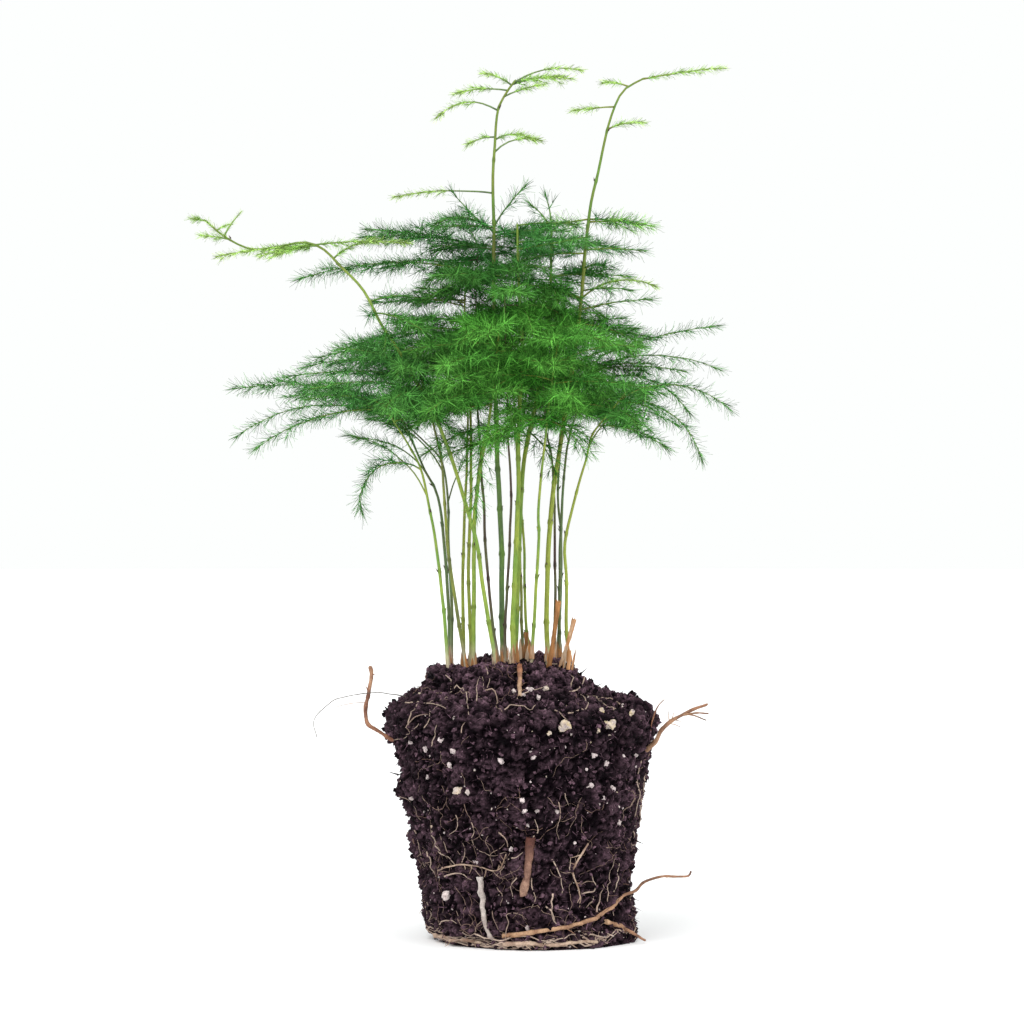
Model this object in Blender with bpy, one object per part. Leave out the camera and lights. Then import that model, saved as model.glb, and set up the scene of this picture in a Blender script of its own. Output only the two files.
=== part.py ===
# Asparagus fern lifted out of its pot: a tapered root ball of peat soil, the roots that
# show on it, three dead stubs, and twenty-one leafy stems that stand in plain holes in the soil.
# Sizes are in millimetres until a mesh is finished, and then turn into metres.
# +Z is up and -Y faces the viewer. The origin is the middle of the ball's flat underside.

import math
import random

import bmesh
import bpy
import numpy as np
from mathutils import Matrix, Vector, noise

MM = 0.001
SEED = 7

# The viewer that the front of the ball is laid out for: what is given as seen lies where the line of
# sight through that place of the plane y = 0 meets the soil.
VIEWER = (-10.0, -1400.0, 170.0)

# Root ball
BALL_OUTLINE = (  # (radius, height) up the side, over the shoulder and up the mound
    (39.6, 0.0), (41.4, 4.0), (42.3, 20.0), (44.3, 38.0), (48.2, 61.0), (50.8, 75.0), (53.6, 84.0),
    (52.0, 91.0), (43.5, 96.5), (34.5, 101.0), (30.0, 106.5), (23.0, 110.2), (12.0, 111.4), (3.0, 111.8),
)
BALL_MIDDLES = (  # (height, x) of the ball's middle: it leans to the left, and the mound more so
    (0.0, 0.0), (7.0, -3.2), (25.0, -4.6), (45.0, -5.3), (74.0, -5.4), (88.0, -6.6), (101.0, -12.0), (112.0, -14.5),
)
BALL_SIDES = 40
BALL_RINGS = 18
SOIL_LUMPS = ((15.0, 1.1), (7.0, 0.7))  # (size, height) of the lumps all over the soil
CLODS = (  # (x, y, z, radius, push) of the clods that stand out
    (40.0, -10.0, 93.0, 8.0, 4.5), (-42.0, -9.0, 106.0, 8.0, 2.5), (-54.0, -12.0, 59.0, 6.5, 4.5),
    (-47.0, -8.0, 25.0, 6.0, 1.0), (38.0, -12.0, 8.0, 8.0, 1.5), (0.0, 6.0, 111.0, 9.0, 2.5),
    (14.0, 46.0, 78.0, 10.0, 3.5), (-36.0, 40.0, 60.0, 9.0, 3.0), (26.0, 36.0, 30.0, 9.0, 2.5),
    (38.0, 26.0, 84.0, 8.0, 2.5), (-20.0, 24.0, 108.0, 8.0, 2.5),
)
MOUND_FOOT = 86.0  # height where the side turns over into the mound
MOUND_TURN = 14.0  # and how far up that turn goes
GRAIN_SIZE = (1.5, 2.4)  # radius of the perlite grains that are large enough to stand out
GRAIN_SPACING = 9.0
FRONT_GRAINS = (  # (x, z) of the grains on the front, as seen
    (-38.6, 79.3), (-33.7, 75.0), (-35.0, 69.4), (-14.4, 70.8), (10.8, 84.9), (29.5, 85.1),
    (22.8, 73.1), (39.2, 73.1), (21.5, 61.0), (-32.1, 59.0), (-5.1, 51.0), (8.1, 50.6),
    (-44.4, 64.3), (-3.8, 45.2),
)
OTHER_GRAINS = 8

# Stems
STEM_SIDES = 5
SEAT_DEPTH = 9.0  # how deep a stem stands in the soil
SEAT_GAP = 0.35  # clearance round a stem or root in the soil
ROOT_STEP = 7.0  # longest straight stretch of a root
ROOT_SIDES = 5
SLEEVE_SIDES = 5
STEM_STEP = 17.0  # longest straight stretch of a stem
STEM_TAPER = 0.45  # how much of its radius a stem loses on its way up
JOINT_HALF = 0.5  # half the length of a node on a stem or spray

# Sprays and needles
SPRAY_NODE_STEP = 13.0
SPRAY_RADIUS = 0.62
SPRAY_TAPER = 0.5
SPRAY_WHORL_BACK = 2.2  # how far behind a spray's end its last needles stand
SPRAY_TIP = 3.4
SPRAY_TRIES = (  # (turn, lift, share of the length) tried until a spray's axis lies clear
    (0, 0, 1), (4, 0, 1), (-4, 0, 1), (0, 5, 1), (0, -5, 1), (8, 4, 1), (-8, 4, 1), (8, -5, 1), (-8, -5, 1),
    (13, 0, 1), (-13, 0, 1), (0, 9, 0.9), (0, -9, 0.9), (18, 6, 0.9), (-18, 6, 0.9), (18, -8, 0.8),
    (-18, -8, 0.8), (26, 4, 0.7), (-26, 4, 0.7), (34, 8, 0.7), (-34, 8, 0.7), (0, 0, 0.5),
)
TWIG_RADIUS = 0.42
TWIG_ANGLE = math.radians(52)
TWIG_SWEEP = 0.18  # how far a twig bends forward, as a share of its length
TWIG_SAG = 0.10
TWIG_SHORTEST = 2.6
TWIG_TIP = 1.5
TWIG_TRIES = (  # (lift, share of the length) tried until a twig lies clear
    (0, 1), (12, 1), (-12, 1), (24, 0.9), (-24, 0.9), (8, 0.6), (-8, 0.6), (38, 0.5),
)
NEEDLE_LENGTH = 6.4
NEEDLE_SPREAD = (0.82, 1.12)  # shortest and longest needle, as a share of that length
NEEDLE_RADIUS = 0.25
NEEDLE_LEAN = math.radians(36)
NEEDLE_TRIES = (1.0, 1.5, 0.5)  # shares of that lean tried until a needle lies clear
NODE_GAP = 0.35  # least clearance between twigs, stems and needles
OWN_SKIP = {"spray": 3.0, "twig": 1.7, "needle": 1.9}  # stretch at its root where each may be near its own node

# (height, azimuth, length, rise, fall, width) of each spray: the height on the stem where it starts, or
# None at the stem's end, its heading from +X towards +Y, its slope in degrees at its root and at its tip,
# and the length of its longest twigs.
STEMS = {
    "01": dict(
        radius=0.48,
        route=((-35.6, -9, 111), (-37.4, -9, 134), (-40.6, -9, 159), (-42.5, -10, 170.5), (-46, -11, 186.5),
               (-50.4, -12, 196), (-60.8, -14, 213)),
        sprays=((187, 180, 37, 36, -104, 4), (204, 226, 44, 12, -22, 14), (None, 184, 50, 2, -34, 9)),
    ),
    "02": dict(
        radius=0.5,
        route=((-35.1, 8, 111), (-35.6, 8, 134), (-37.4, 9, 159), (-40.2, 10, 177.4), (-45.3, 11, 187.4),
               (-50.4, 12, 199), (-58.8, 13, 215)),
        sprays=((196, 118, 36, 16, -18, 12), (208, 150, 54, 14, -10, 17), (None, 178, 65, 18, -8, 16)),
    ),
    "03": dict(
        radius=0.46,
        route=((-34.2, 1, 111), (-34.2, 1, 134), (-35.5, 1, 159), (-35.4, 0, 172.4), (-37.7, -1, 189.8),
               (-45.3, -2, 198.5), (-52, -3, 205)),
        sprays=((194, 238, 42, 10, -28, 13), (None, 187, 68, 12, -18, 10)),
    ),
    "04": dict(
        radius=0.5,
        route=((-28.5, -4, 109.2), (-30.8, -5, 123.6), (-32.6, -6, 136), (-35.5, -6, 155.6), (-37.2, -8, 179.2),
               (-38.8, -11, 195.2), (-46.8, -15, 227)),
        sprays=((206, 252, 46, 8, -22, 15), (218, 214, 50, 12, -12, 16), (None, 170, 48, 10, -12, 14)),
    ),
    "05": dict(
        radius=0.48,
        route=((-29.6, 12, 109.2), (-29.6, 13, 120), (-30, 14, 141.4), (-29.5, 15, 159.2), (-28.3, 18, 193.6),
               (-28.4, 21, 215.2), (-32.8, 25, 243)),
        sprays=((214, 96, 46, 10, -16, 15), (226, 206, 38, 8, -12, 13), (234, 62, 42, 10, -10, 14),
                (None, 152, 40, 6, -10, 13)),
    ),
    "06": dict(
        radius=0.5,
        route=((-26.7, 3, 108.5), (-26.6, 3, 120), (-27.4, 3, 141.4), (-27.1, 3, 159.2), (-26.4, 4, 181.6),
               (-26.8, 6, 215), (-28.8, 8, 247), (-28.6, 8, 268)),
        sprays=((238, 40, 34, 12, -10, 12), (255, 176, 40, 2, -5, 10), (262, 64, 34, 10, -8, 12),
                (None, 181, 65, 2, -6, 11)),
    ),
    "07": dict(
        radius=0.62,
        route=((-25.3, -3, 108.8), (-25.3, -4, 141.4), (-25, -4, 159.2), (-25.1, -5, 168.2), (-22.8, -9, 187.2),
               (-18.8, -16, 207), (-14.8, -25, 243)),
        sprays=((203, 250, 36, -40, -95, 5), (216, 236, 44, 6, -26, 14), (228, 306, 42, 8, -16, 14),
                (236, 200, 36, 6, -14, 12), (None, 264, 42, 6, -20, 13)),
    ),
    "08": dict(
        radius=0.55,
        route=((-16.4, -13, 109.2), (-19.2, -13, 127.2), (-21.6, -13, 141.4), (-24.2, -13, 159.2),
               (-29.4, -15, 177.4), (-37.9, -19, 202.6), (-50.8, -21, 227.2), (-60.8, -18, 243.2),
               (-68.8, -14, 258), (-78.4, -10, 268.4), (-84.6, -9, 274.6), (-92.8, -8, 277.6),
               (-104.8, -8, 275.6), (-114.8, -8, 275.4), (-124.4, -8, 280.2), (-131.8, -8, 286.2)),
        sprays=((216, 252, 42, 6, -22, 13), (236, 128, 30, 8, -10, 10), (253, 24, 15, 20, 0, 5),
                (273, 4, 25, 24, -16, 3), (275.5, 204, 25, 2, -14, 6), (277, 158, 26, 2, -10, 6),
                (282, 214, 9, -8, -24, 2), (None, 182, 6.5, 22, 8, 2)),
    ),
    "09": dict(
        radius=0.42,
        route=((-15.3, -4, 110.4), (-17.8, -3, 127.2), (-19.3, -2, 141.4), (-20.6, 0, 159.2), (-21.4, 4, 175.2),
               (-22.8, 9, 195), (-24.8, 13, 235.2), (-23.6, 15, 278)),
        sprays=((240, 110, 36, 10, -14, 13), (262, 256, 36, 10, -14, 12), (270, 96, 32, 12, -10, 11),
                (None, 177, 47, 8, -4, 8)),
    ),
    "10": dict(
        radius=0.74,
        route=((-13.3, 5, 111.7), (-13.9, 5, 123.6), (-14.2, 4, 137.8), (-14.2, 3, 159.2), (-15.6, 1, 188.8),
               (-17.2, 0, 235.2), (-17.2, 0, 275.2), (-17.6, 0, 299.2), (-17, 0, 315.2), (-15.6, 0, 331),
               (-11.4, 0, 339.4), (-8.9, 0, 342.6)),
        sprays=((250, 34, 42, 8, -8, 14), (262, 284, 38, 10, -10, 12), (275, 138, 30, 12, -6, 10),
                (297.3, 180, 37, 12, -28, 3), (314.4, 8, 17.5, 28, -10, 5), (319.5, 174, 9.5, 0, -25, 3),
                (330.7, 184, 25, 28, -55, 3), (336, -14, 16, 32, 10, 3), (339, 170, 20, 8, -20, 4),
                (341.2, 24, 24, 22, 2, 3), (None, -4, 24, 12, -6, 6)),
    ),
    "11": dict(
        radius=0.4,
        route=((-12.4, -3, 111.7), (-12.8, -4, 127.2), (-11.9, -5, 137.8), (-11, -7, 159.2), (-10.3, -9, 181.6),
               (-11.8, -14, 205), (-12.8, -22, 255)),
        sprays=((222, 232, 44, 8, -22, 14), (240, 332, 40, 10, -14, 13), (None, 276, 36, 12, -12, 12)),
    ),
    "12": dict(
        radius=0.72,
        route=((-9.6, -8, 111.7), (-9.4, -8, 130.8), (-8.2, -9, 159.2), (-7.3, -10, 182.2), (-7.5, -12, 200),
               (-6, -14, 235.2), (-7.4, -13, 262), (-8, -12, 284)),
        sprays=((234, 14, 45, 10, -12, 15), (262, 208, 34, 12, -8, 12), (None, 322, 32, 14, -4, 10)),
    ),
    "13": dict(
        radius=0.7,
        route=((-9, 1, 112), (-7.8, 1, 137.8), (-7.1, 1, 159.2), (-6.2, 1, 178.6), (-4.3, 3, 196.5),
               (1.2, 6, 223), (5.2, 9, 255), (5.8, 10, 287)),
        sprays=((242, 82, 44, 10, -14, 14), (264, 350, 40, 8, -8, 12), (276, 112, 34, 10, -8, 11),
                (None, 26, 30, 14, -4, 10)),
    ),
    "14": dict(
        radius=0.42,
        route=((-5.4, 11, 113.5), (-6, 12, 123.6), (-6.2, 13, 137.8), (-6.9, 16, 159.2), (-5, 22, 190),
               (1, 29, 220), (4, 36, 250)),
        sprays=((212, 24, 44, 8, -18, 15), (228, 132, 44, 8, -14, 15), (None, 72, 38, 8, -14, 13)),
    ),
    "15": dict(
        radius=0.42,
        route=((-2.6, 17, 113), (-4.2, 18, 123.5), (-4.8, 20, 141.4), (-5.3, 23, 159.2), (-8, 31, 190),
               (-10, 42, 236)),
        sprays=((208, 66, 42, 6, -22, 14), (220, 168, 46, 8, -14, 15), (None, 104, 38, 8, -16, 13)),
    ),
    "16": dict(
        radius=0.46,
        route=((-2.1, -6, 114), (-0.8, -7, 134.2), (0.6, -9, 159.2), (0.4, -12, 171.5), (2.4, -17, 192.9),
               (5, -25, 215), (8, -34, 238)),
        sprays=((206, 236, 42, 4, -26, 13), (220, 342, 44, 8, -18, 14), (None, 298, 36, 8, -16, 12)),
    ),
    "17": dict(
        radius=0.68,
        route=((4.2, -3, 112.8), (3.8, -3, 125.2), (4, -3, 144.9), (4.7, -3, 159.2), (6.3, -2, 176.8),
               (8.4, -1, 191.2), (14, 0, 227.2), (17.2, 0, 251.2), (19.2, 0, 275.2), (21.6, 0, 294),
               (24.8, 0, 308), (27.8, 0, 322.5), (31, 0, 333), (35, 0, 339.4), (42.5, 0, 343.6)),
        sprays=((228, 196, 34, 8, -14, 12), (240, 28, 38, 12, -12, 13), (257, 352, 30, 38, -22, 3),
                (275, 6, 25, 6, -6, 8), (288, 0, 28, 6, -12, 9), (290.5, 184, 15, -8, -18, 8),
                (322.7, 0, 14, 30, -5, 3), (332.2, 180, 15, 0, -10, 3), (340.4, 166, 9, 24, 0, 2),
                (None, 0, 34, 12, 4, 3)),
    ),
    "18": dict(
        radius=0.42,
        route=((7, 3, 113.2), (7.3, 3, 132.4), (7.3, 3, 142), (7.2, 3, 159.2), (7, 4, 175.2), (6, 3, 191.8),
               (3.5, -3, 205), (2, -14, 228)),
        sprays=((214, 288, 44, 6, -22, 14), (None, 236, 38, 10, -12, 12)),
    ),
    "19": dict(
        radius=0.46,
        route=((9.2, 10, 113.2), (9, 10, 136), (9.4, 10, 144.9), (9.5, 9, 159.2), (10.9, 9, 185.8), (14.5, 10, 205.4),
               (25, 12, 233)),
        sprays=((210, 58, 42, 8, -20, 14), (219, 354, 46, 14, -34, 12), (None, 2, 48, 24, 6, 10)),
    ),
    "20": dict(
        radius=0.5,
        route=((12.8, 2, 112.4), (11.8, 2, 127), (11.8, 1, 144.9), (11, 0, 157.2), (13.8, -1, 170.4),
               (16.3, -2, 180.4), (19.7, -4, 191.8), (22.2, -5, 201.5), (33, -8, 215)),
        sprays=((204, 326, 32, 4, -34, 10), (209, 286, 38, 8, -26, 12), (None, -6, 42, 5, -74, 9)),
    ),
    "21": dict(
        radius=0.44,
        route=((8.4, 19, 112.6), (9.6, 20, 132), (10, 21, 159.2), (8.8, 24, 173.3), (9.6, 28, 192), (14, 33, 222)),
        sprays=((200, 98, 40, 6, -22, 13), (210, 8, 46, 8, -26, 14), (None, 44, 42, 10, -14, 14)),
    ),
}
YOUNG_STEMS = ("08", "10", "17")  # these carry the pale new shoots
THIN_DARK_STEMS = ("09", "11", "15", "18")

# Dead stubs of old stems: (foot, top, radius)
STUBS = {
    "1": ((5.2, -9, 112.6), (8.3, -11, 134.6), 1.05),
    "2": ((10.2, -8, 112.4), (14.6, -12, 127.6), 0.95),
    "3": ((-4.6, 3.5, 114), (-4.4, 3.0, 122), 0.95),
}

# Roots: a point given as (x, z) lies on the front of the ball as seen, half sunk, and (x, y, z) is free.
# A prong is (x on the root where it leaves, end point).
ROOTS = {
    "left_twig": dict(radius=0.75, route=((-44, -8, 78), (-60.5, -12, 81.7), (-67, -13, 86.5), (-68, -13, 94.6),
                                          (-66.4, -12, 103.2), (-66.1, -12, 109))),
    "left_hair": dict(radius=0.35, route=((-40, -6, 92), (-52.5, -10, 97.2), (-65.9, -14, 98.8), (-78.8, -16, 96.7),
                                          (-86.2, -17, 91.4), (-88.4, -17, 87), (-87, -17, 81.2))),
    "right_fork": dict(radius=0.8, route=((34, -8, 70), (44.8, -14, 77.4), (50, -17, 85.5), (57.4, -18, 90.3),
                                          (67, -19, 94.6)),
                       prongs=((57.4, (67, -22.5, 91.2)), (58.4, (66.5, -17, 88.2)))),
    "lower_right": dict(radius=0.9, route=((2, 3.2), (12.4, 4.6), (24.1, 9), (33.8, 16.3), (41.3, -18, 23.8),
                                           (47.7, -20, 26.5), (59.5, -21, 27.2))),
    "foot_right": dict(radius=0.8, route=((27.6, 6.6), (33.8, 4.4), (42.5, -19, 1.6))),
    "pale_front": dict(radius=1.0, route=((-23, 24.4), (-21.9, 14.2), (-20.9, 5.6), (-17.7, -0.5))),
    "brown_front": dict(radius=1.7, route=((-2.6, 39.4), (-3.7, 28.1), (-5.3, 18))),
    "front_right": dict(radius=0.6, route=((20.9, 37.8), (14.5, 26.6), (17.2, 18.5), (17.0, 12.5))),
    "front_left": dict(radius=0.6, route=((-38, 28.1), (-30.5, 29.4), (-24, 28.6), (-15.5, 27), (-12.3, 33.5))),
    "crown": dict(radius=0.9, route=((-7, -24.5, 109.6), (-7, -31, 103.5), (-7, -38, 98.8))),
}
BACK_ROOTS = 4  # roots that run down the back of the ball, laid by rule
RIM_HEIGHT = 2.6
RIM_RADIUS = 1.0
RIM_ROOTS = {  # (first, last) turn in degrees about Z of the roots that circle the foot; -90 is the front
    "rim_left": (-163, -122), "rim_middle": (-107, -54), "rim_back": (12, 156),
}

# (colour, roughness) of each material
FINISHES = {
    "soil": ((0.030, 0.018, 0.016), 0.95),
    "root_bark": ((0.36, 0.20, 0.11), 0.8),
    "root_pale": ((0.58, 0.48, 0.36), 0.8),
    "dead_stem": ((0.50, 0.28, 0.14), 0.8),
    "foliage": ((0.045, 0.20, 0.060), 0.55),
    "foliage_dark": ((0.035, 0.15, 0.065), 0.55),
    "foliage_young": ((0.16, 0.38, 0.060), 0.5),
}


class Path:
    """A smooth curve through a few points, read by its length from the first."""

    STEPS = 16

    def __init__(self, points):
        ends = [2 * points[0] - points[1], *points, 2 * points[-1] - points[-2]]
        self.points = [points[0].copy()]
        for a, b, c, d in zip(ends, ends[1:], ends[2:], ends[3:]):
            for i in range(1, self.STEPS + 1):
                t = i / self.STEPS
                self.points.append(
                    0.5 * (2 * b + (c - a) * t + (2 * a - 5 * b + 4 * c - d) * t**2 + (3 * b - a - 3 * c + d) * t**3)
                )
        steps = [(q - p).length for p, q in zip(self.points, self.points[1:])]
        self.reach = np.concatenate([[0.0], np.cumsum(steps)])
        self.length = float(self.reach[-1])

    def at(self, s):
        i = int(np.clip(np.searchsorted(self.reach, s) - 1, 0, len(self.points) - 2))
        share = (s - self.reach[i]) / (self.reach[i + 1] - self.reach[i])
        return self.points[i].lerp(self.points[i + 1], min(max(share, 0.0), 1.0))

    def along(self, s):
        near = 0.6
        return (self.at(min(s + near, self.length)) - self.at(max(s - near, 0.0))).normalized()

    def at_height(self, z):
        """The length at which the curve first reaches that height."""
        for i, point in enumerate(self.points):
            if point.z >= z:
                return float(self.reach[i])
        return self.length


class Arc:
    """A spray's axis: it leaves its root along a heading and bends evenly from its rise to its fall."""

    def __init__(self, root, azimuth, length, rise, fall):
        turn = math.radians(azimuth)
        self.root, self.length = root, length
        self.heading = Vector((math.cos(turn), math.sin(turn), 0))
        self.side = Vector((-math.sin(turn), math.cos(turn), 0))
        self.rise = math.radians(rise)
        self.bend = math.radians(fall - rise if abs(fall - rise) > 0.5 else 0.5) / length

    def slope(self, s):
        return self.rise + self.bend * s

    def at(self, s):
        out = (math.sin(self.slope(s)) - math.sin(self.rise)) / self.bend
        up = (math.cos(self.rise) - math.cos(self.slope(s))) / self.bend
        return self.root + self.heading * out + Vector((0, 0, up))

    def along(self, s):
        return self.heading * math.cos(self.slope(s)) + Vector((0, 0, math.sin(self.slope(s))))


class Clearance:
    """Remembers each straight stretch laid so far, and says whether a new one keeps clear of them all."""

    def __init__(self):
        self.rows = np.zeros((60000, 8))
        self.count = 0
        self.owner = 0

    def next_owner(self):
        """What is added from here on belongs to another node."""
        self.owner += 1
        return self.owner

    def add(self, points, radius):
        for p, q in zip(points, points[1:]):
            self.rows[self.count] = (*p, *q, radius, self.owner)
            self.count += 1

    def gap(self, p, q, own_too):
        """Least clearance from the stretch p to q to the stored ones, measured to their surfaces."""
        rows = self.rows[: self.count]
        if not own_too:
            rows = rows[rows[:, 7] != self.owner]
        if not len(rows):
            return math.inf
        p, q = np.array(p), np.array(q)
        starts, spans, own = rows[:, :3], rows[:, 3:6] - rows[:, :3], q - p
        back = p - starts
        a, e = own @ own, (spans * spans).sum(1)
        f, c, b = (spans * back).sum(1), back @ own, spans @ own
        flat = a * e - b * b
        s = np.where(flat > 1e-9, np.clip((b * f - c * e) / np.maximum(flat, 1e-9), 0, 1), 0)
        t = np.clip((b * s + f) / np.maximum(e, 1e-9), 0, 1)
        s = np.clip((b * t - c) / max(a, 1e-9), 0, 1)
        away = back + own * s[:, None] - spans * t[:, None]
        return float((np.sqrt((away * away).sum(1)) - rows[:, 6]).min())

    def clear(self, points, radius, skip):
        """True if the line keeps clear of other nodes, and of its own from skip millimetres past its root."""
        walked = 0.0
        for p, q in zip(points, points[1:]):
            length = (q - p).length
            if self.gap(p, q, False) < radius + NODE_GAP:
                return False
            if walked + length > skip:
                start = p.lerp(q, max(0.0, skip - walked) / length)
                if self.gap(start, q, True) < radius + NODE_GAP:
                    return False
            walked += length
        return True


def between(table, place):
    """The value that a table of pairs gives at a place, in a straight line from pair to pair."""
    return float(np.interp(place, *zip(*table)))


def soil_push(point):
    """How far the soil stands out at a point, from its lumps and clods."""
    push = sum(height * noise.noise(point / size) for size, height in SOIL_LUMPS)
    for x, y, z, radius, out in CLODS:
        away = (point - Vector((x, y, z))).length / radius
        push += out * math.exp(-away * away)
    return push


def ball_surface(radius, height, angle):
    """A point of the ball's lumpy surface, from its outline's radius and height and a turn about Z."""
    out = Vector((math.cos(angle), math.sin(angle), 0))
    point = out * radius + Vector((between(BALL_MIDDLES, height), 0, height))
    if height <= 0:
        return point + out * 0.4 * soil_push(point)
    steep = min(max((height - MOUND_FOOT) / MOUND_TURN, 0.0), 1.0)
    normal = (out * (1 - 0.8 * steep) + Vector((0, 0, steep))).normalized()
    return point + normal * soil_push(point)


def ball_radius(height):
    """The outline's radius at a height."""
    return float(np.interp(height, *zip(*[(z, radius) for radius, z in BALL_OUTLINE])))


def on_front(x, z, sunk=0.0):
    """The point of the ball's front that is seen at x and z, sunk that far."""
    viewer = Vector(VIEWER)
    sight = Vector((x, 0, z)) - viewer
    surface = Vector((x, 0, z))
    for _ in range(4):
        near = viewer + sight * ((surface.y - viewer.y) / -viewer.y)
        radius = ball_radius(near.z)
        cosine = (near.x - between(BALL_MIDDLES, near.z)) / radius
        angle = -math.acos(max(-0.99, min(0.99, cosine)))
        surface = ball_surface(radius, near.z, angle)
    return surface - Vector((math.cos(angle), math.sin(angle), 0)) * sunk


def root_path(root):
    points = []
    for point in root["route"]:
        points.append(Vector(point) if len(point) == 3 else on_front(*point, sunk=0.35 * root["radius"]))
    for point in points:
        point.z = max(point.z, root["radius"] + 0.4)
    return Path(points)


def lay_ring(face, centre, along, side, radius):
    """Lays a face's corners as a regular ring round a point, square to along, with the least turn."""
    face.normal_update()
    up = along.cross(side)
    corners = [loop.vert for loop in face.loops]
    step = 2 * math.pi / len(corners)
    middle = face.calc_center_median()
    first = corners[0].co - middle
    nearest = round(math.atan2(first.dot(up), first.dot(side)) / step - 0.5)
    sense = 1 if face.normal.dot(along) > 0 else -1
    for i, corner in enumerate(corners):
        angle = (nearest + sense * i + 0.5) * step
        corner.co = centre + (side * math.cos(angle) + up * math.sin(angle)) * radius


def extrude_to(bm, face, centre, along, side, radius):
    """Extrudes a face to a ring round centre, and returns the new end face and the walls behind it."""
    end = bmesh.ops.extrude_discrete_faces(bm, faces=[face])["faces"][0]
    lay_ring(end, centre, along, side, radius)
    walls = [other for edge in end.edges for other in edge.link_faces if other is not end]
    return end, walls


def square_side(reference, along):
    return (reference - along * reference.dot(along)).normalized()


def start_tube(bm, start, end, along, side, radius, sides):
    """A closed tube from start to end; returns its end face."""
    up = along.cross(side)
    turn = Matrix((side, up, along)).transposed().to_4x4()
    place = Matrix.Translation((start + end) / 2) @ turn @ Matrix.Rotation(math.pi / sides, 4, "Z")
    made = bmesh.ops.create_cone(
        bm, cap_ends=True, segments=sides, radius1=radius, radius2=radius, depth=(end - start).length, matrix=place
    )
    faces = {face for vert in made["verts"] for face in vert.link_faces}
    for face in faces:
        face.normal_update()
    foot = min(faces, key=lambda face: face.normal.dot(along))
    top = max(faces, key=lambda face: face.normal.dot(along))
    lay_ring(foot, start, along, side, radius)
    lay_ring(top, end, along, side, radius)
    return top


def tube_mesh(bm, path, stations, radii, sides, reference=Vector((0, 1, 0))):
    """A tube along a path with a ring at each station; returns the end face and each segment's walls."""
    sides_at = [square_side(reference, path.along(s)) for s in stations]
    first, second = stations[0], stations[1]
    end = start_tube(
        bm, path.at(first), path.at(second), path.along(second), sides_at[1], radii[1], sides
    )
    walls = [[]]
    for s, side, radius in zip(stations[2:], sides_at[2:], radii[2:]):
        end, made = extrude_to(bm, end, path.at(s), path.along(s), side, radius)
        walls.append(made)
    return end, walls


def even_stations(length, step):
    count = max(2, math.ceil(length / step))
    return [length * i / count for i in range(count + 1)]


class Twig:
    """A twig of a spray: where it starts, how it points and how long it is."""

    def __init__(self, root, along, forward, up, length):
        self.root, self.direction, self.forward, self.up, self.length = root, along, forward, up, length
        self.side = up.cross(along).normalized()

    def at(self, s):
        share = s / self.length
        return (
            self.root
            + self.direction * s
            + (self.forward * TWIG_SWEEP - self.up * TWIG_SAG) * self.length * share * share
        )

    def along(self, s):
        return (self.at(s + 0.5) - self.at(s - 0.5)).normalized()


def twig_length(share, width):
    """A twig's length at a share of the way along its spray: longest a third of the way out."""
    return width * (0.35 + 0.65 * math.sin(math.pi * min(1.0, 0.18 + share * 0.98) ** 0.75)) * (1.06 - share)


class Spray:
    """A flat spray of a stem: its axis, the nodes on it, and a twig at each node."""

    def __init__(self, row, root):
        self.height, self.azimuth, self.length, self.rise, self.fall, self.width = row
        self.root = root
        self.axis = None
        self.twigs = []

    def settle(self, clearance):
        """Lays the axis, turned or shortened a little where it would touch what is there."""
        for turn, lift, share in SPRAY_TRIES:
            arc = Arc(self.root, self.azimuth + turn, self.length * share, self.rise + lift, self.fall + lift)
            line = [arc.at(s) for s in even_stations(arc.length + SPRAY_TIP, NEEDLE_LENGTH)]
            if clearance.clear(line, SPRAY_RADIUS, OWN_SKIP["spray"]):
                self.axis = arc
                clearance.add(line, SPRAY_RADIUS)
                return True
        return False

    def nodes(self):
        count = max(1, round(self.axis.length / SPRAY_NODE_STEP))
        return [self.axis.length * (i + 0.62) / (count + 0.45) for i in range(count)]

    def settle_twigs(self, clearance):
        """A twig at each node, left and right by turns."""
        for i, s in enumerate(self.nodes()):
            along = self.axis.along(s)
            hand = 1 if i % 2 else -1
            sideways = self.axis.side * hand
            up = along.cross(self.axis.side)
            length = twig_length(s / self.axis.length, self.width)
            made = None
            for lift, share in TWIG_TRIES:
                tilt = math.radians(lift)
                out = (sideways * math.cos(tilt) + up * math.sin(tilt)).normalized()
                direction = along * math.cos(TWIG_ANGLE) + out * math.sin(TWIG_ANGLE)
                twig = Twig(self.axis.at(s), direction, along, up, max(TWIG_SHORTEST, length * share))
                line = [twig.at((twig.length + TWIG_TIP) * k / 3) for k in range(4)]
                if clearance.clear(line, TWIG_RADIUS, OWN_SKIP["twig"]):
                    clearance.add(line, TWIG_RADIUS)
                    made = twig
                    break
            self.twigs.append((s, hand, made))


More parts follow.
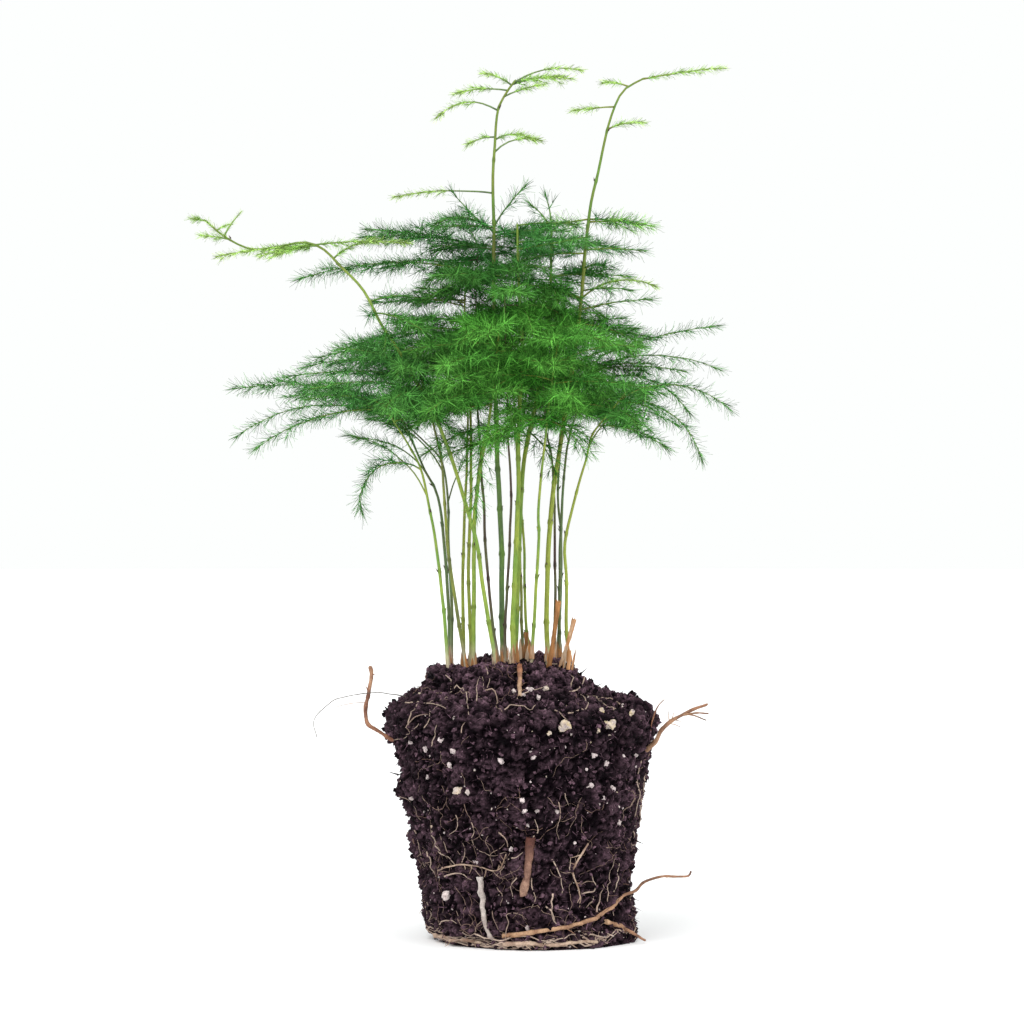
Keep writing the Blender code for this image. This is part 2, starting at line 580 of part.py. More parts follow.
class Stem:
    """A leafy stem: its path from its seat in the soil, and its sprays."""

    def __init__(self, name, row):
        self.name, self.radius = name, row["radius"]
        points = [Vector(point) for point in row["route"]]
        self.foot = points[0] + (points[0] - points[1]).normalized() * SEAT_DEPTH
        self.path = Path([self.foot, *points])
        self.sprays = []
        for spray in row["sprays"]:
            s = self.path.length if spray[0] is None else self.path.at_height(spray[0])
            made = Spray(spray, self.path.at(s))
            made.s = s
            self.sprays.append(made)
        self.stations, self.joints = self.lay_stations()

    def lay_stations(self):
        """The rings of the stem: one pair at each node, and more where the stretch between is long."""
        joints = sorted({spray.s for spray in self.sprays if spray.height is not None})
        marks = [0.0]
        for s in joints:
            marks += [s - JOINT_HALF, s + JOINT_HALF]
        marks.append(self.path.length)
        stations = [0.0]
        for a, b in zip(marks, marks[1:]):
            count = 1 if b - a <= 2.1 * JOINT_HALF else math.ceil((b - a) / STEM_STEP)
            stations += [a + (b - a) * i / count for i in range(1, count + 1)]
        return stations, joints

    def radius_at(self, s):
        return self.radius * (1.0 - STEM_TAPER * (s / self.path.length) ** 1.5)

    def line(self):
        return [self.path.at(s) for s in self.stations]


def settle_plant(clearance):
    """Lays every stem, then every spray's axis, then every twig, each clear of what came before."""
    stems = [Stem(name, row) for name, row in STEMS.items()]
    for stem in stems:
        stem.owner = clearance.next_owner()
        clearance.add(stem.line(), stem.radius)
    for stem in stems:
        clearance.owner = stem.owner
        stem.sprays = [spray for spray in stem.sprays if spray.settle(clearance)]
    for stem in stems:
        clearance.owner = stem.owner
        for spray in stem.sprays:
            spray.settle_twigs(clearance)
    return stems


def raise_needle(bm, face, outward, along, draw, clearance):
    """Raises one needle from a wall of a twig, unless it would touch something."""
    foot = face.calc_center_median()
    length = NEEDLE_LENGTH * draw.uniform(*NEEDLE_SPREAD)
    for share in NEEDLE_TRIES:
        lean = NEEDLE_LEAN * share
        tip = foot + (outward * math.cos(lean) + along * math.sin(lean)) * length
        if clearance.clear([foot, tip], NEEDLE_RADIUS, OWN_SKIP["needle"]):
            clearance.add([foot.lerp(tip, 0.3), tip], NEEDLE_RADIUS)
            bmesh.ops.poke(bm, faces=[face])["verts"][0].co = tip
            return


def raise_whorl(bm, walls, middle, along, draw, clearance, most=4):
    """Needles on the walls of a node, evenly round it."""
    walls = [face for face in walls if face.is_valid]
    keep = [walls[round(i * len(walls) / most)] for i in range(most)] if len(walls) > most else walls
    for face in keep:
        away = face.calc_center_median() - middle
        outward = (away - along * away.dot(along)).normalized()
        raise_needle(bm, face, outward, along, draw, clearance)


def close_tip(bm, face, along, length):
    """Draws an end face out to a point."""
    tip = face.calc_center_median() + along * length
    bmesh.ops.poke(bm, faces=[face])["verts"][0].co = tip


def grow_twig(bm, face, twig, draw, clearance):
    """A twig from a wall of the spray's axis, with a whorl of needles and a pointed tip."""
    middle = twig.length * 0.7
    end, walls = face, []
    for s in (middle - JOINT_HALF, middle + JOINT_HALF):
        end, walls = extrude_to(bm, end, twig.at(s), twig.along(s), twig.side, TWIG_RADIUS * 0.8)
    raise_whorl(bm, walls, twig.at(middle), twig.along(middle), draw, clearance)
    close_tip(bm, end, twig.along(twig.length), twig.length - middle + TWIG_TIP)


def grow_spray(bm, face, spray, draw, clearance):
    """A spray from a wall or the end of a stem: its axis, a twig and needles at each node, and its tip."""
    axis = spray.axis
    end, grown = face, []
    for s, hand, twig in spray.twigs:
        for place in (s - JOINT_HALF, s + JOINT_HALF):
            radius = SPRAY_RADIUS * (1.0 - SPRAY_TAPER * place / axis.length)
            end, walls = extrude_to(bm, end, axis.at(place), axis.along(place), axis.side, radius)
        grown.append((s, hand, twig, walls))
    last = axis.length - SPRAY_WHORL_BACK
    if last > spray.twigs[-1][0] + 4 * JOINT_HALF:
        for place in (last - JOINT_HALF, last + JOINT_HALF):
            end, walls = extrude_to(bm, end, axis.at(place), axis.along(place), axis.side, SPRAY_RADIUS * SPRAY_TAPER)
        grown.append((last, 1, None, walls))
    close_tip(bm, end, axis.along(axis.length), SPRAY_TIP)
    for s, hand, twig, walls in grown:
        if twig is None:
            raise_whorl(bm, walls, axis.at(s), axis.along(s), draw, clearance)
            continue
        wall = max(walls, key=lambda one: (one.calc_center_median() - axis.at(s)).dot(axis.side * hand))
        others = [one for one in walls if one is not wall]
        grow_twig(bm, wall, twig, draw, clearance)
        raise_whorl(bm, others, axis.at(s), axis.along(s), draw, clearance, most=3)


def grow_stem(stem, clearance):
    """The whole leafy stem as one closed mesh, in millimetres."""
    draw = random.Random(SEED * 100 + int(stem.name))
    clearance.owner = stem.owner
    bm = bmesh.new()
    radii = [stem.radius_at(s) for s in stem.stations]
    end, walls = tube_mesh(bm, stem.path, stem.stations, radii, STEM_SIDES)
    by_joint = {}
    for s in stem.joints:
        segment = min(
            range(1, len(stem.stations)),
            key=lambda i: abs((stem.stations[i - 1] + stem.stations[i]) / 2 - s),
        )
        by_joint[s] = list(walls[segment - 1])
    for spray in stem.sprays:
        if spray.height is None:
            grow_spray(bm, end, spray, draw, clearance)
            continue
        start = spray.axis.along(0)
        choice = by_joint[spray.s]
        wall = max(choice, key=lambda one: (one.calc_center_median() - spray.root).dot(start))
        choice.remove(wall)
        grow_spray(bm, wall, spray, draw, clearance)
    return bm


def material(name):
    found = bpy.data.materials.get(name)
    if found:
        return found
    colour, roughness = FINISHES[name]
    made = bpy.data.materials.new(name)
    made.use_nodes = True
    shader = made.node_tree.nodes["Principled BSDF"]
    shader.inputs["Base Color"].default_value = (*colour, 1)
    shader.inputs["Roughness"].default_value = roughness
    shader.inputs["Metallic"].default_value = 0.0
    return made


def object_from(bm, name, finish, seat, parent, smooth=None):
    """An object whose origin is its seat, from a mesh in millimetres."""
    bmesh.ops.recalc_face_normals(bm, faces=bm.faces)
    bmesh.ops.translate(bm, verts=bm.verts, vec=-seat)
    bmesh.ops.scale(bm, verts=bm.verts, vec=Vector((MM, MM, MM)))
    mesh = bpy.data.meshes.new(name)
    bm.to_mesh(mesh)
    bm.free()
    mesh.materials.append(material(finish))
    if smooth:
        mesh.shade_smooth()
        mesh.set_sharp_from_angle(angle=math.radians(smooth))
    made = bpy.data.objects.new(name, mesh)
    bpy.context.scene.collection.objects.link(made)
    made.location = seat * MM
    made.parent = parent
    return made


def sleeve(points, radius):
    """The room that a stem or root takes in the soil along these points, as a mesh in millimetres."""
    first, last = (points[0] - points[1]).normalized(), (points[-1] - points[-2]).normalized()
    line = [points[0] + first * SEAT_GAP, *points[1:-1], points[-1] + last * SEAT_GAP]
    wide = (radius + SEAT_GAP) / math.cos(math.pi / SLEEVE_SIDES)
    bm = bmesh.new()
    ends = [2 * line[0] - line[1], *line, 2 * line[-1] - line[-2]]
    alongs = [((c - b).normalized() + (b - a).normalized()).normalized() for a, b, c in zip(ends, ends[1:], ends[2:])]
    sides = [square_side(Vector((0, 1, 0)), along) for along in alongs]
    end = start_tube(bm, line[0], line[1], alongs[1], sides[1], wide, SLEEVE_SIDES)
    for point, along, side in zip(line[2:], alongs[2:], sides[2:]):
        end, _ = extrude_to(bm, end, point, along, side, wide)
    return bm


def stub_path(foot, top):
    foot, top = Vector(foot), Vector(top)
    down = (foot - top).normalized()
    return Path([foot + down * SEAT_DEPTH * 0.8, top])


def ball_mesh():
    """The root ball before anything is set into it: the outline turned about Z, then made lumpy."""
    outline = Path([Vector((radius, 0, height)) for radius, height in BALL_OUTLINE])
    bm = bmesh.new()
    profile = [outline.at(outline.length * i / BALL_RINGS) for i in range(BALL_RINGS + 1)]
    verts = [bm.verts.new(point) for point in profile]
    edges = [bm.edges.new(pair) for pair in zip(verts, verts[1:])]
    bmesh.ops.spin(
        bm, geom=verts + edges, cent=(0, 0, 0), axis=(0, 0, 1), angle=2 * math.pi, steps=BALL_SIDES, use_merge=True
    )
    for vert in bm.verts:
        radius, angle = math.hypot(vert.co.x, vert.co.y), math.atan2(vert.co.y, vert.co.x)
        vert.co = ball_surface(radius, max(vert.co.z, 0.0), angle)
    bmesh.ops.holes_fill(bm, edges=bm.edges, sides=0)
    bmesh.ops.recalc_face_normals(bm, faces=bm.faces)
    return bm


def grain_meshes():
    """Perlite grains half sunk in the soil: those on the front by place, the rest by rule."""
    draw = random.Random(SEED)
    places = [on_front(x, z) for x, z in FRONT_GRAINS]
    while len(places) < len(FRONT_GRAINS) + OTHER_GRAINS:
        height, angle = draw.uniform(14, 84), draw.uniform(0, math.pi)
        place = ball_surface(ball_radius(height), height, angle)
        if all((place - other).length > GRAIN_SPACING for other in places):
            places.append(place)
    made = []
    for place in places:
        bm = bmesh.new()
        size = draw.uniform(*GRAIN_SIZE)
        bmesh.ops.create_icosphere(bm, subdivisions=1, radius=size, matrix=Matrix.Translation(place))
        for vert in bm.verts:
            vert.co = place + (vert.co - place) * draw.uniform(0.8, 1.15)
        made.append(bm)
    return made


def helper_objects(meshes, collection, name):
    for i, bm in enumerate(meshes):
        bmesh.ops.recalc_face_normals(bm, faces=bm.faces)
        bmesh.ops.scale(bm, verts=bm.verts, vec=Vector((MM, MM, MM)))
        mesh = bpy.data.meshes.new(f"{name}_{i}")
        bm.to_mesh(mesh)
        bm.free()
        collection.objects.link(bpy.data.objects.new(f"{name}_{i}", mesh))


def join_collection(target, meshes, name, operation, solver):
    """One Boolean of the target with all these meshes, applied, with the helpers then removed."""
    helpers = bpy.data.collections.new(name)
    bpy.context.scene.collection.children.link(helpers)
    helper_objects(meshes, helpers, name)
    modifier = target.modifiers.new(name, "BOOLEAN")
    modifier.operand_type = "COLLECTION"
    modifier.collection = helpers
    modifier.operation = operation
    modifier.solver = solver
    bpy.context.view_layer.update()
    graph = bpy.context.evaluated_depsgraph_get()
    joined = bpy.data.meshes.new_from_object(target.evaluated_get(graph))
    target.modifiers.remove(modifier)
    target.data = joined
    for helper in list(helpers.objects):
        bpy.data.objects.remove(helper)
    bpy.data.collections.remove(helpers)


def back_root_routes():
    """Roots that run down the back and sides of the ball, each a slow wave round it."""
    draw = random.Random(SEED + 1)
    routes = {}
    for i in range(BACK_ROOTS):
        angle = math.pi * (0.12 + 0.76 * (i + 0.5) / BACK_ROOTS)
        drift = draw.uniform(-0.5, 0.5)
        points = []
        for k in range(6):
            height = 52 - 8.6 * k
            turn = angle + drift * k / 5 + 0.07 * math.sin(2.1 * k + i)
            inwards = Vector((math.cos(turn), math.sin(turn), 0))
            points.append(ball_surface(ball_radius(height), height, turn) - inwards * 0.25)
        routes[f"back_{i + 1}"] = dict(radius=draw.uniform(0.6, 0.9), route=points)
    return routes


def rim_root_routes():
    """Roots that circle the foot of the ball, as they grew round the pot's corner."""
    routes = {}
    for name, (first, last) in RIM_ROOTS.items():
        points = []
        for k in range(5):
            turn = math.radians(first + (last - first) * k / 4)
            inwards = Vector((math.cos(turn), math.sin(turn), 0))
            height = RIM_HEIGHT + 0.5 * math.sin(2.4 * k + first)
            points.append(ball_surface(ball_radius(height), height, turn) - inwards * 0.3)
        routes[name] = dict(radius=RIM_RADIUS, route=points)
    return routes


def root_mesh(root, path, stations):
    """A root that thins towards its end, with its prongs, as one closed mesh in millimetres."""
    bm = bmesh.new()
    prongs = root.get("prongs", ())
    forks = [next(s for s in np.arange(0, path.length, 0.5) if path.at(s).x >= x) for x, _ in prongs]
    stations = sorted([*stations, *[s + d for s in forks for d in (-JOINT_HALF, JOINT_HALF)]])
    radii = [root["radius"] * (1.0 - 0.4 * s / path.length) for s in stations]
    _, walls = tube_mesh(bm, path, stations, radii, ROOT_SIDES)
    for s, (_, end) in zip(forks, prongs):
        choice = walls[stations.index(s + JOINT_HALF) - 1]
        way = Vector(end) - path.at(s)
        wall = max(choice, key=lambda one: (one.calc_center_median() - path.at(s)).dot(way))
        along = way.normalized()
        side = square_side(Vector((0, 1, 0)), along)
        for share, radius in ((0.3, 0.45), (1.0, 0.3)):
            wall, _ = extrude_to(bm, wall, path.at(s) + way * share, along, side, radius)
    return bm


def clear_scene():
    for old in list(bpy.data.objects):
        bpy.data.objects.remove(old)


def build():
    clear_scene()
    plant = bpy.data.objects.new("plant", None)
    bpy.context.scene.collection.objects.link(plant)

    clearance = Clearance()
    roots = {**ROOTS, **rim_root_routes(), **back_root_routes()}
    root_paths = {name: root_path(root) for name, root in roots.items()}
    for name, path in root_paths.items():
        clearance.add([path.at(s) for s in even_stations(path.length, ROOT_STEP)], roots[name]["radius"])
    stub_paths = {name: stub_path(foot, top) for name, (foot, top, _) in STUBS.items()}
    for name, path in stub_paths.items():
        clearance.add([path.at(0), path.at(path.length)], STUBS[name][2])
    stems = settle_plant(clearance)

    ball = object_from(ball_mesh(), "root_ball", "soil", Vector((0, 0, 0)), plant)
    join_collection(ball, grain_meshes(), "grains", "UNION", "EXACT")
    cutters = [sleeve([stem.path.at(s) for s in stem.stations[:2]], stem.radius) for stem in stems]
    cutters += [sleeve([path.at(0), path.at(path.length)], STUBS[name][2]) for name, path in stub_paths.items()]
    root_stations = {name: even_stations(path.length, ROOT_STEP) for name, path in root_paths.items()}
    cutters += [
        sleeve([path.at(s) for s in root_stations[name]], roots[name]["radius"]) for name, path in root_paths.items()
    ]
    join_collection(ball, cutters, "sleeves", "DIFFERENCE", "EXACT")

    for name, path in root_paths.items():
        bm = root_mesh(roots[name], path, root_stations[name])
        finish = "root_bark" if name in ("left_twig", "right_fork", "brown_front", "crown") else "root_pale"
        object_from(bm, f"root_{name}", finish, path.at(0), plant, smooth=50)
    for name, path in stub_paths.items():
        bm = bmesh.new()
        radius = STUBS[name][2]
        stations = [0.0, path.length * 0.4, path.length * 0.75, path.length]
        tube_mesh(bm, path, stations, [radius, radius, radius * 0.92, radius * 1.05], 7)
        object_from(bm, f"dead_stub_{name}", "dead_stem", path.at(0), plant, smooth=50)
    for stem in stems:
        bm = grow_stem(stem, clearance)
        finish = "foliage"
        if stem.name in YOUNG_STEMS:
            finish = "foliage_young"
        elif stem.name in THIN_DARK_STEMS:
            finish = "foliage_dark"
        object_from(bm, f"leafy_stem_{stem.name}", finish, stem.foot, plant)


build()
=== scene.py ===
# Asparagus fern lifted out of its pot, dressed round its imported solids: crumbly soil with perlite and
# fine roots, dry stubs and husks, and leafy stems that carry flat sprays of needles.
# Lengths are in millimetres while a mesh is being shaped, and turn into metres when it is finished.

import math
import random

import bmesh
import bpy
import numpy as np
from bpy.props import FloatProperty, FloatVectorProperty, IntProperty, PointerProperty
from mathutils import Matrix, Vector, noise
from mathutils.bvhtree import BVHTree


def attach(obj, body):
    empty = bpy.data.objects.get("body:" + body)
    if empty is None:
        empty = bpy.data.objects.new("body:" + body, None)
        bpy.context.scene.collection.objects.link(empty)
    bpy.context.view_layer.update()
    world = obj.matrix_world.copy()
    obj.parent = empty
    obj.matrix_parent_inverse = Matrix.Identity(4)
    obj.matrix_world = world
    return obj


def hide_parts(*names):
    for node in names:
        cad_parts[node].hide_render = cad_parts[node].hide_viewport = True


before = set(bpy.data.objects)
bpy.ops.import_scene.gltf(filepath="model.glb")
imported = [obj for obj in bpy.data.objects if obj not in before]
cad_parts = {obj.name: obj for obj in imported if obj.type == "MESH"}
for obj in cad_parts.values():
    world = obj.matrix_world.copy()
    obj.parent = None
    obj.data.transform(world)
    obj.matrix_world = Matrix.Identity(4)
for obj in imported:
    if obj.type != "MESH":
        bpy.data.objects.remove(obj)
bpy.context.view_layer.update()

bl_info = {
    "name": "Asparagus fern",
    "version": (1, 0, 0),
    "blender": (4, 5, 0),
    "location": "View3D > Sidebar > Fern",
    "description": "Builds an asparagus fern and its root ball round the packed solids",
    "category": "Object",
}

MM = 0.001
NOISE_SEED = 5  # without a seed, the noise's vectors would come from the clock
VIEWER = Vector((-10.0, -1400.0, 170.4))  # where the camera stands
PICTURE_WIDTH = 409.6  # how much of the plane y = 0 is seen from side to side
SEEDS = {  # of the random draws. Each root, stub and stem has its own, counted on from the one given here
    "crumbs": 31, "perlite": 47, "back_roots": 8, "roots": 60, "fine_roots": 83, "stubs": 70, "husks": 59,
    "whorls": 5, "stems": 1000,
}

# Root ball, as in its solid: (radius, height) up the side, over the shoulder and up the mound
BALL_OUTLINE = (
    (39.6, 0), (41.4, 4), (42.3, 20), (44.3, 38), (48.2, 61), (50.8, 75), (53.6, 84),
    (52, 91), (43.5, 96.5), (34.5, 101), (30, 106.5), (23, 110.2), (12, 111.4), (3, 111.8),
)
BALL_MIDDLES = (  # (height, x) of the ball's middle
    (0, 0), (7, -3.2), (25, -4.6), (45, -5.3), (74, -5.4), (88, -6.6), (101, -12),
    (112, -14.5),
)
SOIL_LUMPS = ((15, 1.1), (7, 0.7))  # (size, height) of the lumps all over the soil
CRUMB_CELLS = ((9.5, 2.6), (4.6, 2), (2.3, 1.2))  # (size, height) of the rounded crumbs over the lumps
CLODS = (  # (x, y, z, radius, push) of the clods that stand out
    (40, -10, 93, 8, 4.5), (-42, -9, 106, 8, 2.5), (-54, -12, 59, 6.5, 4.5),
    (-47, -8, 25, 6, 1), (38, -12, 8, 8, 1.5), (0, 6, 111, 9, 2.5),
    (14, 46, 78, 10, 3.5), (-36, 40, 60, 9, 3), (26, 36, 30, 9, 2.5),
    (38, 26, 84, 8, 2.5), (-20, 24, 108, 8, 2), (-27, -8, 109, 9, -4.5),
    (-27, 7, 111, 9, -4.5), (-13, -7, 111, 7, -3), (-14, 8, 112, 8, -3.5),
    (-38, 0, 105, 7, -1.5),
)
SLIVERS = (  # (root, tip, radius) of the peat slivers that stick out of the ball's outline
    ((-45.5, -8, 98.2), (-52.4, -9, 99.8), 0.6), ((-39.5, -6, 104.5), (-43.8, -7, 108), 0.7),
    ((17.5, -6, 106), (20.5, -7, 109), 0.5), ((22, -5, 100), (26.5, -6, 102.5), 0.6),
    ((-55, -8, 66), (-60, -9, 67.4), 0.6), ((37, -10, 41), (42.6, -11, 38.5), 0.8),
    ((39, -8, 56.5), (44, -9, 60), 0.5),
)
MOUND_FOOT = 86.0  # up to this height the soil faces outwards
MOUND_TURN = 14.0  # and over this much more it turns to face upwards
MOUND_MIDDLE = -9  # x of the mound's middle

# Perlite on the front, as seen: (x, z, radius, how yellow)
FRONT_GRAINS = (
    (-38.6, 79.3, 1.3, 0), (-50.6, 78.3, 1, 0), (-44.4, 75.8, 1.3, 0), (-33.7, 75, 1.7, 0.1),
    (-35, 69.4, 1.6, 0), (-43.6, 64.3, 1.2, 0), (-14.4, 70.8, 1.5, 0), (-1.4, 72.4, 1.2, 0),
    (10.8, 84.9, 2.6, 0.8), (29.5, 85.1, 2.6, 0.9), (25.8, 91.1, 1.5, 0.8), (37.8, 90, 1.5, 0.8),
    (22.8, 73.1, 1.3, 0), (27.4, 69.9, 1.5, 0), (39.2, 73.1, 1.7, 0.1), (21.5, 61, 1.6, 0),
    (30.5, 59.7, 1.5, 0), (-32.1, 59, 2.2, 0.5), (-27.8, 58.2, 1.3, 0.3), (-5.1, 51, 1.3, 0),
    (0, 51, 1.2, 0.1), (8.1, 50.6, 1.3, 0.1), (-3.8, 45.2, 1.2, 0), (-50.3, 56, 1.3, 0.1),
    (26.3, 56, 1.1, 0), (-5.9, 55, 1.2, 0), (11.3, 76.4, 0.7, 0), (-2.6, 62.4, 0.6, 0),
    (-24.6, 30.8, 1.4, 0), (-10.2, 35.6, 1.4, 0), (-3.8, 4, 1.7, 0), (32.2, 46.4, 1.7, 0.1),
    (-36, 17, 2.4, 0.1), (-3, 99, 1.6, 0.1), (-6, 97, 1.3, 0), (0.5, 96, 1.2, 0.1),
    (3.5, 99.8, 1.4, 0.4), (-9, 98.5, 1.2, 0.1), (15, 38, 0.9, 0), (-45, 50.5, 0.8, 0.1),
    (-2.5, 74.5, 0.7, 0), (34.5, 72.8, 0.9, 0), (24.4, 83, 1.2, 0.7), (5.2, 82.2, 1.2, 0.6),
    (29, 80.4, 1, 0.5), (-33, 88, 1, 0.5), (19.8, 67.5, 0.9, 0), (-37, 42.2, 0.8, 0),
)

